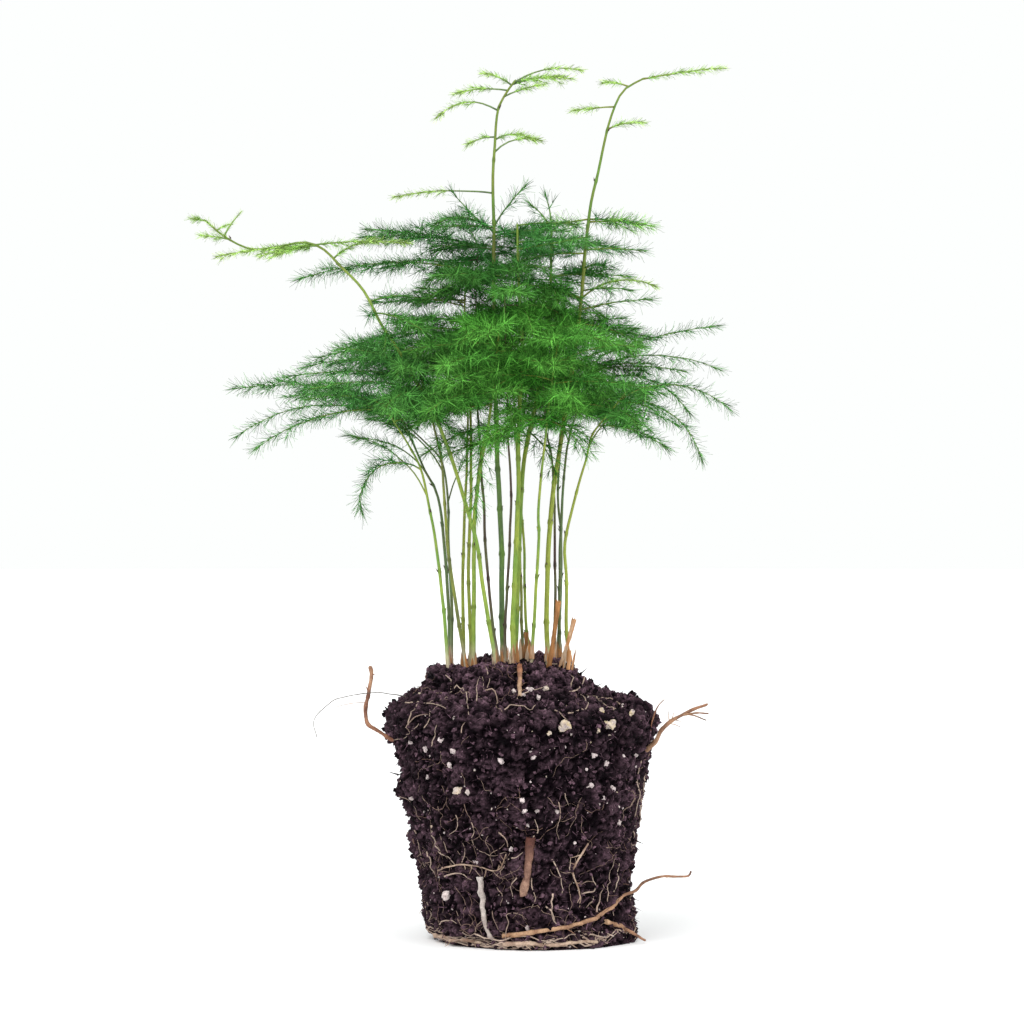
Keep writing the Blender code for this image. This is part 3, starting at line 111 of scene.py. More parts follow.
# Stems and sprays, where the solids have them. A spray is (height on the stem or None for its end, heading,
# length, slope at its root, slope at its tip, length of its longest twigs), in millimetres and degrees.
# bark is the stem's colour, the tint after it says how brightly its needles are painted, as painted light and
# shade, and fill gives the smaller sprays between: (lowest, highest, how many, how long).
STEMS = {
    "01": dict(
        radius=0.48, bark="light", lit_tint=0.35, fill=(205, 214, 3, 42),
        route=((-35.6, -9, 111), (-37.4, -9, 134), (-40.6, -9, 159), (-42.5, -10, 170.5),
               (-46, -11, 186.5), (-50.4, -12, 196), (-60.8, -14, 213)),
        sprays=((176, 175, 40, 68, 10, 8), (187, 180, 37, 36, -104, 9), (210, 184, 54, 4, -36, 8),
                (None, 222, 38, 16, -12, 10)),
    ),
    "02": dict(
        radius=0.5, bark="dark", lit_tint=0.25, fill=(206, 216, 4, 48),
        route=((-35.1, 8, 111), (-35.6, 8, 134), (-37.4, 9, 159), (-40.2, 10, 177.4), (-45.3, 11, 187.4),
               (-50.4, 12, 199), (-58.8, 13, 215)),
        sprays=((182, 200, 36, 62, 0, 5), (199, 118, 34, 38, 0, 11), (211, 150, 50, 22, -8, 14),
                (None, 178, 63, 18, -8, 13)),
    ),
    "03": dict(
        radius=0.46, bark="dark", lit_tint=0.3, fill=(205, 206, 1, 46),
        route=((-34.2, 1, 111), (-34.2, 1, 134), (-35.5, 1, 159), (-35.4, 0, 172.4), (-37.7, -1, 189.8),
               (-45.3, -2, 198.5), (-52, -3, 205)),
        sprays=((174, 15, 24, 74, 60, 7), (203, 232, 28, 34, 4, 6), (None, 186, 70, 30, -36, 6)),
    ),
    "04": dict(
        radius=0.5, bark="olive_dark", lit_tint=0.5, fill=(210, 228, 6, 48),
        route=((-28.5, -4, 109.2), (-30.8, -5, 123.6), (-32.6, -6, 136), (-35.5, -6, 155.6),
               (-37.2, -8, 179.2), (-38.8, -11, 195.2), (-46.8, -15, 227)),
        sprays=((186, 165, 38, 64, 6, 9), (208, 252, 44, 14, -14, 12), (218, 214, 50, 12, -12, 13),
                (222, 192, 52, 12, -10, 12), (None, 170, 45, 18, -14, 13)),
    ),
    "05": dict(
        radius=0.48, bark="olive", lit_tint=0.3, fill=(210, 241, 6, 44),
        route=((-29.6, 12, 109.2), (-29.6, 13, 120), (-30, 14, 141.4), (-29.5, 15, 159.2),
               (-28.3, 18, 193.6), (-28.4, 21, 215.2), (-32.8, 25, 243)),
        sprays=((214, 96, 46, 10, -16, 15), (226, 206, 38, 8, -12, 13), (234, 62, 42, 10, -10, 14),
                (211, 230, 34, 0, -26, 11), (None, 152, 40, 6, -10, 13)),
    ),
    "06": dict(
        radius=0.5, bark="olive", lit_tint=0.15, fill=(225, 266, 8, 44),
        route=((-26.7, 3, 108.5), (-26.6, 3, 120), (-27.4, 3, 141.4), (-27.1, 3, 159.2), (-26.4, 4, 181.6),
               (-26.8, 6, 215), (-28.8, 8, 247), (-28.6, 8, 268)),
        sprays=((238, 40, 34, 12, -10, 12), (236, 184, 58, 4, -14, 12), (255, 176, 36, 2, -5, 9),
                (247, 206, 28, 8, -10, 12), (253, 186, 32, 16, -2, 9, 0.35), (262, 68, 30, 10, -8, 12),
                (None, 181, 66, 12, -18, 12, 0.3)),
    ),
    "07": dict(
        radius=0.62, bark="light", lit_tint=0.7, fill=(210, 241, 6, 44),
        route=((-25.3, -3, 108.8), (-25.3, -4, 141.4), (-25, -4, 159.2), (-25.1, -5, 168.2),
               (-22.8, -9, 187.2), (-18.8, -16, 207), (-14.8, -25, 243)),
        sprays=((203, 250, 37, -40, -95, 7), (211, 202, 30, 0, -26, 11), (216, 236, 44, 6, -26, 14),
                (228, 306, 42, 8, -16, 14), (236, 200, 36, 6, -14, 12), (None, 264, 42, 6, -20, 13)),
    ),
    "08": dict(
        radius=0.55, bark="green", lit_tint=0.5, young_above=270, needled=279.2, fill=(208, 252, 5, 32),
        route=((-16.4, -13, 109.2), (-19.2, -13, 127.2), (-21.6, -13, 141.4), (-24.2, -13, 159.2),
               (-29.4, -15, 177.4), (-37.9, -19, 202.6), (-50.8, -21, 227.2), (-60.8, -18, 243.2),
               (-68.8, -14, 258), (-78.4, -10, 268.4), (-84.6, -9, 274.6), (-92.8, -8, 277.6),
               (-104.8, -8, 275.6), (-114.8, -8, 275.4), (-124.4, -8, 280.2), (-131.8, -8, 286.2)),
        sprays=((216, 252, 42, 6, -22, 13), (228, 262, 22, 12, -34, 10), (240, 268, 20, 0, -40, 9),
                (236, 128, 30, 8, -10, 10), (253, 24, 15, 20, 0, 5), (271, 12, 16, 44, 8, 3),
                (276.5, -4, 36, 6, -4, 3), (276, 184, 38, 0, -12, 8), (276.8, 150, 24, -2, -14, 7),
                (277, 200, 16, -14, -24, 4), (276.6, 182, 15, -16, 6, 4), (280, 30, 10, 62, 48, 2, 0.1),
                (278.6, 176, 10, 14, 4, 4), (282, 60, 9, 30, 10, 2, 0.1), (None, 182, 4, 12, 8, 3)),
    ),
    "09": dict(
        radius=0.42, bark="brown", lit_tint=0.1, fill=(225, 274, 7, 42),
        route=((-15.3, -4, 110.4), (-17.8, -3, 127.2), (-19.3, -2, 141.4), (-20.6, 0, 159.2),
               (-21.4, 4, 175.2), (-22.8, 9, 195), (-24.8, 13, 235.2), (-23.6, 15, 278)),
        sprays=((240, 110, 36, 10, -14, 13), (262, 256, 36, 10, -14, 12), (270, 96, 32, 12, -10, 11),
                (268, 200, 38, 8, -6, 12), (276, 190, 44, 15, 0, 15), (None, 177, 45, 14, -4, 15, 0.2),
                (None, 120, 20, 50, 28, 6)),
    ),
    "10": dict(
        radius=0.74, bark="blue", lit_tint=0.25, young_above=290, fill=(225, 284, 9, 40),
        route=((-13.3, 5, 111.7), (-13.9, 5, 123.6), (-14.2, 4, 137.8), (-14.2, 3, 159.2),
               (-15.6, 1, 188.8), (-17.2, 0, 235.2), (-17.2, 0, 275.2), (-17.6, 0, 299.2), (-17, 0, 315.2),
               (-15.6, 0, 331), (-11.4, 0, 339.4), (-8.9, 0, 342.6)),
        sprays=((204, 218, 36, -6, -30, 10), (250, 34, 42, 8, -8, 14), (262, 284, 38, 10, -10, 12),
                (275, 138, 30, 12, -6, 10), (280, 336, 30, 10, -6, 11), (284, 204, 22, 4, -6, 9),
                (281, 48, 28, 6, -8, 9), (282, 182, 21, 34, 52, 3), (283, -8, 19, 60, 46, 5.9, 0.1),
                (297.3, 180, 38, 8, -12, 4, 0.45), (313.4, 4, 19, 48, -14, 4, 0.3),
                (318.8, 10, 15, 32, -24, 4), (319.5, 174, 10, 4, -28, 4),
                (330.7, 184, 25, 34, -42, 3, 0.35), (336, -14, 15, 27, 5, 4, 0.2),
                (339, 170, 20, 12, -14, 5, 0.15), (341, 160, 12, 40, 10, 4),
                (341.8, 12, 28, 36, -10, 3, 0.35), (341.2, 24, 21, 22, 2, 4), (None, -4, 21, 12, -6, 7)),
    ),
    "11": dict(
        radius=0.4, bark="brown", lit_tint=0.75, fill=(210, 252, 7, 40),
        route=((-12.4, -3, 111.7), (-12.8, -4, 127.2), (-11.9, -5, 137.8), (-11, -7, 159.2),
               (-10.3, -9, 181.6), (-11.8, -14, 205), (-12.8, -22, 255)),
        sprays=((222, 236, 44, 8, -22, 14), (240, 332, 40, 10, -14, 13), (None, 276, 36, 12, -12, 12)),
    ),
    "12": dict(
        radius=0.72, bark="green", lit_tint=0.6, fill=(218, 277, 8, 40),
        route=((-9.6, -8, 111.7), (-9.4, -8, 130.8), (-8.2, -9, 159.2), (-7.3, -10, 182.2),
               (-7.5, -12, 200), (-6, -14, 235.2), (-7.4, -13, 262), (-8, -12, 284)),
        sprays=((203, 250, 34, 0, -30, 11), (234, 14, 45, 10, -12, 15), (262, 208, 34, 12, -8, 12),
                (276, 12, 28, 8, -6, 11), (None, 322, 28, 4, -8, 8)),
    ),
    "13": dict(
        radius=0.7, bark="green", lit_tint=0.3, fill=(218, 277, 8, 40),
        route=((-9, 1, 112), (-7.8, 1, 137.8), (-7.1, 1, 159.2), (-6.2, 1, 178.6), (-4.3, 3, 196.5),
               (1.2, 6, 223), (5.2, 9, 255), (5.8, 10, 287)),
        sprays=((200, 205, 36, 0, -24, 11), (202, 304, 24, -20, -60, 8), (242, 82, 44, 10, -14, 14),
                (264, 350, 30, 8, -8, 11), (274, 112, 34, 10, -8, 11), (284, 172, 12, 58, 40, 4),
                (281, 196, 24, 4, -6, 9), (277, 26, 28, 8, -4, 11), (None, 118, 10, 78, 60, 4)),
    ),
    "14": dict(
        radius=0.42, bark="olive_dark", lit_tint=0.3, fill=(212, 248, 6, 44),
        route=((-5.4, 11, 113.5), (-6, 12, 123.6), (-6.2, 13, 137.8), (-6.9, 16, 159.2), (-5, 22, 190),
               (1, 29, 220), (4, 36, 250)),
        sprays=((212, 28, 44, 8, -18, 15), (228, 132, 44, 8, -14, 15), (None, 72, 38, 8, -14, 13)),
    ),
    "15": dict(
        radius=0.42, bark="light", lit_tint=0.3, fill=(214, 236, 5, 42),
        route=((-2.6, 17, 113), (-4.2, 18, 123.5), (-4.8, 20, 141.4), (-5.3, 23, 159.2), (-8, 31, 190),
               (-10, 42, 236)),
        sprays=((209, 66, 42, 8, -18, 12), (220, 168, 46, 8, -14, 15), (None, 104, 38, 8, -16, 13)),
    ),
    "16": dict(
        radius=0.46, bark="light", lit_tint=0.55, fill=(210, 238, 6, 42),
        route=((-2.1, -6, 114), (-0.8, -7, 134.2), (0.6, -9, 159.2), (0.4, -12, 171.5), (2.4, -17, 192.9),
               (5, -25, 215), (8, -34, 238)),
        sprays=((206, 236, 42, 4, -26, 13), (206, 310, 26, -10, -50, 8), (220, 342, 44, 8, -18, 14),
                (None, 298, 36, 8, -16, 12)),
    ),
    "17": dict(
        radius=0.68, bark="olive", lit_tint=0.45, young_above=320, fresh={255: 1, 286: 0.35, 287.5: 0.35},
        fill=(218, 276, 9, 40),
        route=((4.2, -3, 112.8), (3.8, -3, 125.2), (4, -3, 144.9), (4.7, -3, 159.2), (6.3, -2, 176.8),
               (8.4, -1, 191.2), (14, 0, 227.2), (17.2, 0, 251.2), (19.2, 0, 275.2), (21.6, 0, 294),
               (24.8, 0, 308), (27.8, 0, 322.5), (31, 0, 333), (35, 0, 339.4), (42.5, 0, 343.6)),
        sprays=((228, 196, 34, 8, -14, 12), (240, 28, 32, 12, -12, 9), (250, 5, 27, 16, 2, 5),
                (258, 338, 18, 10, -8, 7), (255, 352, 31, 44, -24, 3, 0.15), (275, 6, 22, 6, -6, 6),
                (286, 0, 24, 6, -12, 10), (286.4, 2, 18, 2, -10, 9), (287.5, 184, 18, -8, -18, 11),
                (322.7, 0, 14, 30, -5, 5), (332.2, 180, 15, 0, -10, 5, 0.35), (340.4, 166, 9, 24, 0, 4),
                (None, 0, 31, 12, 4, 5)),
    ),
    "18": dict(
        radius=0.42, bark="brown", lit_tint=0.45, fill=(211, 230, 5, 38),
        route=((7, 3, 113.2), (7.3, 3, 132.4), (7.3, 3, 142), (7.2, 3, 159.2), (7, 4, 175.2),
               (6, 3, 191.8), (3.5, -3, 205), (2, -14, 228)),
        sprays=((206, 336, 22, 0, -40, 9), (214, 288, 44, 6, -22, 14), (None, 236, 38, 5, -17, 12)),
    ),
    "19": dict(
        radius=0.46, bark="dark", lit_tint=0.3, fill=(211, 234, 5, 38),
        route=((9.2, 10, 113.2), (9, 10, 136), (9.4, 10, 144.9), (9.5, 9, 159.2), (10.9, 9, 185.8),
               (14.5, 10, 205.4), (25, 12, 233)),
        sprays=((198, 150, 26, 70, 30, 8), (210, 58, 42, 8, -20, 14), (222, 354, 45, 26, -56, 6.5),
                (226, 344, 36, 10, -12, 8, 0.3), (228, 4, 50, 20, -22, 5.5), (None, 2, 48, 24, 6, 6.5)),
    ),
    "20": dict(
        radius=0.5, bark="olive", lit_tint=0.4, fill=(210, 218, 3, 34),
        route=((12.8, 2, 112.4), (11.8, 2, 127), (11.8, 1, 144.9), (11, 0, 157.2), (13.8, -1, 170.4),
               (16.3, -2, 180.4), (19.7, -4, 191.8), (22.2, -5, 201.5), (33, -8, 215)),
        sprays=((196, 14, 24, 62, 30, 7), (204, 326, 32, 4, -34, 10), (209, 286, 38, 8, -26, 12),
                (None, -6, 42, 5, -74, 6), (None, 8, 46, 34, -40, 7)),
    ),
    "21": dict(
        radius=0.44, bark="dark", lit_tint=0.25, fill=(212, 224, 4, 38),
        route=((8.4, 19, 112.6), (9.6, 20, 132), (10, 21, 159.2), (8.8, 24, 173.3), (9.6, 28, 192),
               (14, 33, 222)),
        sprays=((208, 98, 38, 14, -12, 10), (210, 8, 46, 22, -30, 9), (None, 44, 42, 10, -14, 14)),
    ),
}
SEAT_DEPTH = 9.0  # how deep a stem stands in the soil
STEM_TAPER = 0.62  # how much of its thickness a stem loses on its way up
STEM_SWELL = 1.6  # how much wider a stem is than its solid
LEAFY_OUTLINE = (  # (height, left, right) that the smaller sprays stay within, as seen
    (191, -36, -4), (197, -40, 4), (203, -44, 30), (207, -52, 40), (211, -62, 46), (215, -86, 50),
    (221, -94, 50), (228, -92, 46), (235, -80, 42), (241, -66, 44), (248, -54, 36), (256, -47, 24),
    (264, -45, 24), (272, -48, 28), (280, -58, 34), (286, -42, 32), (291, -24, 14), (298, -20, 6),
)
LEAFY_DEPTH = (-62, 70)  # (nearest, furthest) y that they stay within
GOLDEN_ANGLE = 137.5
SHORTEST_FILL = 12  # a smaller spray that has to be shorter than this is left out

STUBS = {  # (foot, top, radius)
    "1": ((5.2, -9, 112.6), (8.3, -11, 134.6), 1.05),
    "2": ((10.2, -8, 112.4), (14.6, -12, 127.6), 0.95),
    "3": ((-4.6, 3.5, 114), (-4.4, 3, 122), 0.95),
}
BLEACHED_STUB = "2"

# Roots that stand out, as in their solids. A point given as (x, z) lies on the front of the ball as seen.
# A prong is (x on the root where it leaves, end point, radius). laid roots lie on the soil, and torn ones
# have ragged ends.
ROOTS = {
    "left_twig": dict(
        radius=0.85, taper=0.1, skin="bark", rootlets=0, laid=False,
        route=((-44, -8, 78), (-56, -11, 79.6), (-61, -12, 82.2), (-64.3, -12.7, 84.4),
               (-66.9, -13, 86), (-67.8, -13, 88.6), (-67.7, -13, 94.4), (-66.4, -12, 100.6),
               (-65.7, -12, 106.6), (-66.4, -12, 109.2)),
        prongs=((-67.7, (-79.5, -14, 93.2), 0.14), (-66.9, (-68, -12, 101.4), 0.3),
                (-65.8, (-64.6, -12.6, 106), 0.34)),
    ),
    "left_hair": dict(
        radius=0.24, taper=0.45, skin="grey", rootlets=0, laid=False,
        route=((-40, -6, 92), (-52.5, -10, 97.2), (-65.9, -14, 98.8), (-78.8, -16, 96.7),
               (-86.2, -17, 91.4), (-88.4, -17, 87), (-87, -17, 81.2)),
    ),
    "right_fork": dict(
        radius=1.2, taper=0.55, skin="tan", rootlets=3, laid=False,
        route=((34, -8, 70), (44.8, -14, 77.4), (50, -17, 85.5), (57.4, -18, 90.3), (67, -19, 94.6)),
        prongs=((57.4, (67, -22.5, 91.2), 0.5), (58.4, (66.5, -17, 88.2), 0.4),
                (51.5, (56.4, -18, 85.6), 0.2)),
        hair=((44.5, -15, 82), (45.6, -16, 88.1), (47.7, -17, 93.5), (50, -17, 96.2)),
    ),
    "lower_right": dict(
        radius=1.05, taper=0.62, skin="tan", rootlets=3, laid=True,
        route=((-14, 0.8), (-5, 1.6), (2, 3), (12.4, 4.6), (24.1, 9), (33.8, 16.3), (38.9, -17, 21),
               (42.3, -18, 24.5), (48.8, -20, 26.6), (58.6, -21, 26.9), (60.4, -21, 28.8)),
    ),
    "foot_right": dict(
        radius=1, taper=0.5, skin="tan", rootlets=2, laid=True,
        route=((27.6, 6.6), (33.8, 4.4), (42.5, -19, 1.6)),
    ),
    "pale_front": dict(
        radius=1.25, taper=0.35, skin="white", rootlets=0, laid=True,
        route=((-23, 24.4), (-21.9, 14.2), (-20.9, 5.6), (-17.7, -0.5)),
    ),
    "brown_front": dict(
        radius=1.95, taper=0.2, skin="rust", rootlets=0, laid=True, torn=True,
        route=((-2.6, 39.4), (-3.7, 28.1), (-5.3, 18)),
    ),
    "front_right": dict(
        radius=0.42, taper=0.4, skin="pale", rootlets=5, laid=True,
        route=((20.9, 37.8), (14.5, 26.6), (17.2, 18.5), (17, 12.5)),
    ),
    "front_left": dict(
        radius=0.32, taper=0.4, skin="pale", rootlets=8, laid=True,
        route=((-38, 28.1), (-30.5, 29.4), (-24, 28.6), (-15.5, 27), (-12.3, 33.5)),
    ),
    "crown": dict(
        radius=1, taper=0.3, skin="crown", rootlets=2, laid=True, torn=True,
        route=((-7, -24.5, 109.6), (-7, -31, 103.5), (-7, -38, 98.8)),
    ),
}
SKINS = {  # two colours at a root's start, and two at its tip
    "bark": ((0.40, 0.15, 0.08), (0.15, 0.06, 0.04), (0.56, 0.33, 0.20), (0.22, 0.10, 0.065)),
    "tan": ((0.60, 0.38, 0.23), (0.34, 0.18, 0.10), (0.42, 0.21, 0.12), (0.14, 0.07, 0.05)),
    "rust": ((0.13, 0.040, 0.028), (0.07, 0.025, 0.02), (0.50, 0.31, 0.22), (0.22, 0.11, 0.08)),
    "crown": ((0.40, 0.15, 0.065), (0.16, 0.06, 0.04), (0.60, 0.44, 0.30), (0.34, 0.20, 0.13)),
    "white": ((0.66, 0.59, 0.55), (0.42, 0.35, 0.32), (0.58, 0.50, 0.45), (0.34, 0.26, 0.23)),
    "pale": ((0.60, 0.44, 0.33), (0.32, 0.20, 0.15), (0.54, 0.40, 0.30), (0.26, 0.16, 0.11)),
    "grey": ((0.15, 0.12, 0.10), (0.10, 0.08, 0.07), (0.17, 0.14, 0.12), (0.10, 0.08, 0.07)),
}
BACK_ROOTS = 4
RIM_HEIGHT = 2.6
RIM_RADIUS = 1.0
RIM_ROOTS = {"rim_left": (-163, -122), "rim_middle": (-107, -54), "rim_back": (12, 156)}  # degrees about Z
EXTRA_HUSKS = (  # (foot, a point above it, radius) of husks round shoots that are gone
    ((-7, -3, 112), (-7.2, -3, 119), 1.1), ((-3.4, -4, 113), (-3.0, -4.2, 119), 0.8),
    ((-9.0, -14, 110), (-9.4, -13.2, 116), 1.1), ((-13.0, -11, 110), (-13.0, -10.4, 116), 0.9),
    ((12.5, -11, 110), (13.4, -11.5, 116), 1.2),
)

# Fine roots that show on the front, as seen: rows of (x, z)
MOUND_THREADS = (
    ((-35.1, 98), (-31, 99.8), (-28.4, 98), (-27.8, 93.4), (-27.3, 89.3)),
    ((-24.1, 94.8), (-23.8, 101.7), (-21.8, 104.2), (-21.2, 99.2)),
    ((-21.2, 98.5), (-17.7, 99.2), (-15.8, 95.7), (-16.3, 92.5), (-14, 90.7)),
    ((-13.1, 91.1), (-10.6, 93.1), (-6.2, 92.5), (-2.5, 90.9), (-0.9, 92.9)),
    ((-51.6, 85.1), (-50.3, 90), (-45.5, 93.4), (-39.2, 94.8), (-35.1, 95.9)),
    ((-58.1, 79), (-53, 80.1), (-48.9, 83.8), (-47.1, 85.6)),
    ((-42, 76.4), (-41.1, 80.1), (-40, 85.1)),
    ((12.4, 90), (16.3, 90.4), (19.7, 92), (19.1, 95.7), (15.9, 98.3), (13.3, 98.6)),
    ((14, 98.5), (17, 99.8), (20.5, 103.1), (18.2, 105.8)),
    ((33.3, 93.4), (28.7, 95.7), (23.7, 95.5), (19.5, 97.4)),
    ((30.6, 91.1), (26, 94.1), (22.1, 96.6)),
    ((6.7, 91.1), (9.6, 89.7), (11.8, 87.4)),
    ((-30.2, 82.1), (-29.9, 84.5), (-29, 86.3)),
    ((-50.7, 82.4), (-50.1, 86.5), (-48, 88.8), (-43.8, 89.3)),
    ((-45.2, 83.8), (-42.7, 87.4), (-42, 91.1), (-37.4, 93.4)),
    ((-52.6, 93.9), (-47.1, 94.1), (-41.1, 93.4), (-36.5, 92)),
    ((-36.5, 104.9), (-34.5, 102.9), (-34.5, 99.6)),
    ((-8, 95.7), (-3.4, 98.5), (1.6, 99.8), (4.1, 101)),
    ((-20.4, 107.6), (-19, 104), (-19.8, 100.3)),
)
NET_THREADS = (
    ((11.3, 57.9), (11.5, 55.5), (12.2, 53.3)),
    ((-32.4, 49.1), (-31.4, 44.7), (-33.7, 42.2), (-35.1, 39.7)),
    ((-26.4, 46.6), (-25, 42.2), (-25.5, 37.8), (-21.8, 34.3), (-17.2, 32.8), (-12.4, 34.2), (-13.3, 28.7),
     (-16.3, 25)),
    ((-39.6, 27), (-34.7, 28.7), (-28.2, 29.3), (-24.7, 27.3), (-22.5, 24.8)),
    ((-36.9, 24.5), (-31.9, 25.9), (-26.4, 23.5)),
    ((-29.9, 30.3), (-29, 34.2), (-29.7, 38)),
    ((-43.8, 34.6), (-42.2, 29.6), (-40, 24.5)),
    ((-38.8, 5.5), (-35.6, 7.1), (-32.1, 6)),
    ((-44, 14.1), (-42.4, 9.4), (-43.1, 6.4)),
    ((-13.1, -0.9), (-11.5, 6.4), (-12.2, 9.4), (-8, 9.9), (-4.2, 7.9)),
    ((-2, 39.5), (0.4, 43.2), (-1, 47.2)),
    ((-2.1, 24.1), (-1.8, 19.5), (-0.5, 15.8), (-2.3, 11.9)),
    ((14.9, 25), (12.7, 27.6), (13.3, 32.5)),
    ((17.2, 18), (22.8, 19), (21.7, 24.8)),
    ((22.5, 16.7), (19.4, 12.1)),
    ((5.8, 31.4), (8.1, 27.7), (10, 21.3), (9.8, 17.3)),
    ((6.3, 17.6), (5.8, 11.9), (6.9, 6.4), (11.5, 4.2)),
    ((27.8, 14.7), (28.7, 25), (31.1, 33.2)),
    ((30.4, 18.4), (32.6, 29.6)),
    ((3.2, 13), (5.3, 11), (7.2, 6.6)),
    ((-35.6, 34.2), (-36.9, 37.8), (-39.2, 41.5)),
    ((-39.2, 34.6), (-35.1, 32.3), (-32.6, 29.6)),
    ((-42, 45.2), (-40.6, 39.7), (-38.8, 35.1)),
    ((-15.8, 20.4), (-13.7, 16.7), (-14.3, 13)),
    ((-24.5, 2), (-23.1, 5.7), (-20.9, 7.5)),
    ((-11.7, 31.4), (-8, 32.3), (-5.8, 34.3)),
    ((39.7, 62.6), (40.7, 56.2), (39, 48.9), (39.9, 42.4)),
    ((43.2, 66), (42.3, 58.5), (42.4, 51), (41, 45)),
    ((41.6, 52), (40.7, 44.5), (40.8, 37), (39.2, 31)),
    ((40, 43), (40.2, 36), (38.7, 29), (38.3, 22)),
    ((41.7, 61), (42.2, 54), (41, 47)),
    ((38.8, 37.8), (39.6, 32.3), (37.9, 26.8)),
    ((41.6, 70.9), (40.2, 65.4), (40.8, 59)),
    ((-48.8, 43.3), (-47.1, 37.8), (-46.4, 32.3), (-44.8, 28.7)),
    ((16.3, 20.4), (19.5, 22.7), (22.3, 22.4)),
    ((8.5, 54.4), (9.3, 48.9), (7.8, 43.3), (8.7, 39.7)),
    ((-15.4, 42.4), (-12.4, 39.7), (-11.7, 35.8)),
    ((-8, 24.1), (-10.6, 20.4), (-9.9, 16.7)),
    ((33.3, 16.7), (30.7, 13), (30.4, 9.4)),
    ((23.7, 10.3), (25, 15.8), (26, 21.3)),
    ((-40.2, 2.9), (-35.6, 0.9), (-30.1, 0.2), (-23.6, -1.5)),
    ((-39.2, 0.6), (-33.7, -1.5), (-26.4, -2.6), (-17.2, -3.3)),
    ((-30.1, 2.2), (-27.3, 0.9), (-23.6, 2)),
    ((-15.4, -2.6), (-8, -3.7), (-0.7, -2.6), (6.7, 0)),
    ((-9.9, -4.4), (-2.5, -3.1), (5.8, -1.8)),
)


def length_property(name, description, value, least, most, precision=4):
    return FloatProperty(
        name=name, description=description, default=value, min=least, max=most, precision=precision,
        unit="LENGTH",
    )


def count_property(name, description, value, least, most):
    return IntProperty(name=name, description=description, default=value, min=least, max=most)


def colour_property(name, description, value):
    return FloatVectorProperty(
        name=name, description=description, default=value, subtype="COLOR", min=0, max=1
    )


class FernSizes(bpy.types.PropertyGroup):
    """How full and how fine the plant is."""

    needle_length: length_property("Needle length", "Length of a full-grown needle", 0.0058, 0.002, 0.009)
    needle_width: length_property("Needle width", "Width of a needle at its root", 0.00031, 0.0001, 0.001, 5)
    needles: count_property("Needles in a whorl", "How many needles stand together", 6, 3, 16)
    whorl_gap: length_property("Whorl gap", "From one whorl of needles to the next", 0.0021, 0.0008, 0.006)
    twig_gap: length_property("Twig gap", "Distance between the twigs of a spray", 0.0042, 0.002, 0.02)
    crumbs: count_property("Crumbs", "Soil crumbs on the ball", 4800, 0, 12000)
    crumb_size: length_property("Crumb size", "Radius of a middling crumb of soil", 0.0009, 0.0003, 0.003)
    fibres: count_property("Peat fibres", "Slivers of peat in the soil", 5000, 0, 9000)
    grains: count_property("Perlite grains", "Small perlite grains all round the ball", 330, 0, 900)
    threads: count_property("Fine roots", "Thread-like roots laid by rule round the ball", 330, 0, 700)


class FernColours(bpy.types.PropertyGroup):
    """The plant's colours."""

    needle_deep: colour_property("Deep needles", "Needles in the shade of the plant", (0.005, 0.082, 0.002))
    needle_bright: colour_property("Bright needles", "Needles on the lit sprays", (0.084, 0.30, 0.044))
    needle_cool: colour_property("Cool needles", "Needles at the edges and the top", (0.034, 0.140, 0.038))
    needle_young: colour_property("Young needles", "Needles on the new shoots", (0.31, 0.45, 0.12))
    stem_light: colour_property("Light stems", "Yellow-green stems", (0.33, 0.41, 0.06))
    stem_olive: colour_property("Olive stems", "Olive stems", (0.28, 0.32, 0.055))
    stem_green: colour_property("Green stems", "Fresh green stems", (0.17, 0.32, 0.05))
    stem_blue: colour_property("Bluish stems", "Bluish green stems", (0.12, 0.20, 0.08))
    stem_dark: colour_property("Dark stems", "Dark green stems", (0.13, 0.155, 0.055))
    stem_brown: colour_property("Brown stems", "Old brownish stems", (0.085, 0.048, 0.042))
    husk: colour_property("Husks", "Dry scales and stubs", (0.60, 0.27, 0.095))
    husk_pale: colour_property("Pale husks", "Bleached scales and stubs", (0.70, 0.57, 0.43))
    soil: colour_property("Soil", "Moist peat", (0.0050, 0.0016, 0.0042))
    soil_dry: colour_property("Dry soil", "Drier crumbs", (0.180, 0.102, 0.136))
    perlite: colour_property("Perlite", "White grains", (0.92, 0.78, 0.77))
    perlite_stained: colour_property("Stained perlite", "Yellowed grains", (0.72, 0.57, 0.30))
    root_pale: colour_property("Pale roots", "Young roots", (0.74, 0.56, 0.45))
    root_dull: colour_property("Dull roots", "Older fine roots", (0.24, 0.13, 0.10))
    floor: colour_property("Floor", "The surface that the plant stands on", (0.95, 0.95, 0.955))


def sizes():
    return bpy.context.scene.fern_sizes


def colours():
    return bpy.context.scene.fern_colours


# Numbers, draws and directions

def clamp(value, low=0.0, high=1.0):
    return min(high, max(low, value))


def even(length, step, least=2):
    """Even places from 0 to a length, about a step apart."""
    count = max(least, math.ceil(length / step))
    return [length * i / count for i in range(count + 1)]


def between(table, place):
    """The value that a table of pairs gives at a place, in a straight line from pair to pair."""
    return float(np.interp(place, *zip(*table)))


def mixed(first, other, share):
    """The colour that lies a share of the way from one to another."""
    return [a + (b - a) * share for a, b in zip(first, other)]


def darker(colour, share):
    return [share * value for value in colour]


def outwards(angle):
    """The level direction at an angle about Z."""
    return Vector((math.cos(angle), math.sin(angle), 0))


def any_side(along):
    """A direction square to another."""
    return along.orthogonal().normalized()


def drawn_turn(draw):
    """A turn out of a little more than a full circle."""
    return draw.uniform(0, 6.3)


def drawn_angle(draw):
    return draw.uniform(-math.pi, math.pi)


def drawn_vector(draw, low=-1, high=1):
    return Vector([draw.uniform(low, high) for _ in range(3)])


def round_about(draw, along):
    """A drawn direction square to another."""
    return Matrix.Rotation(drawn_turn(draw), 3, along) @ any_side(along)


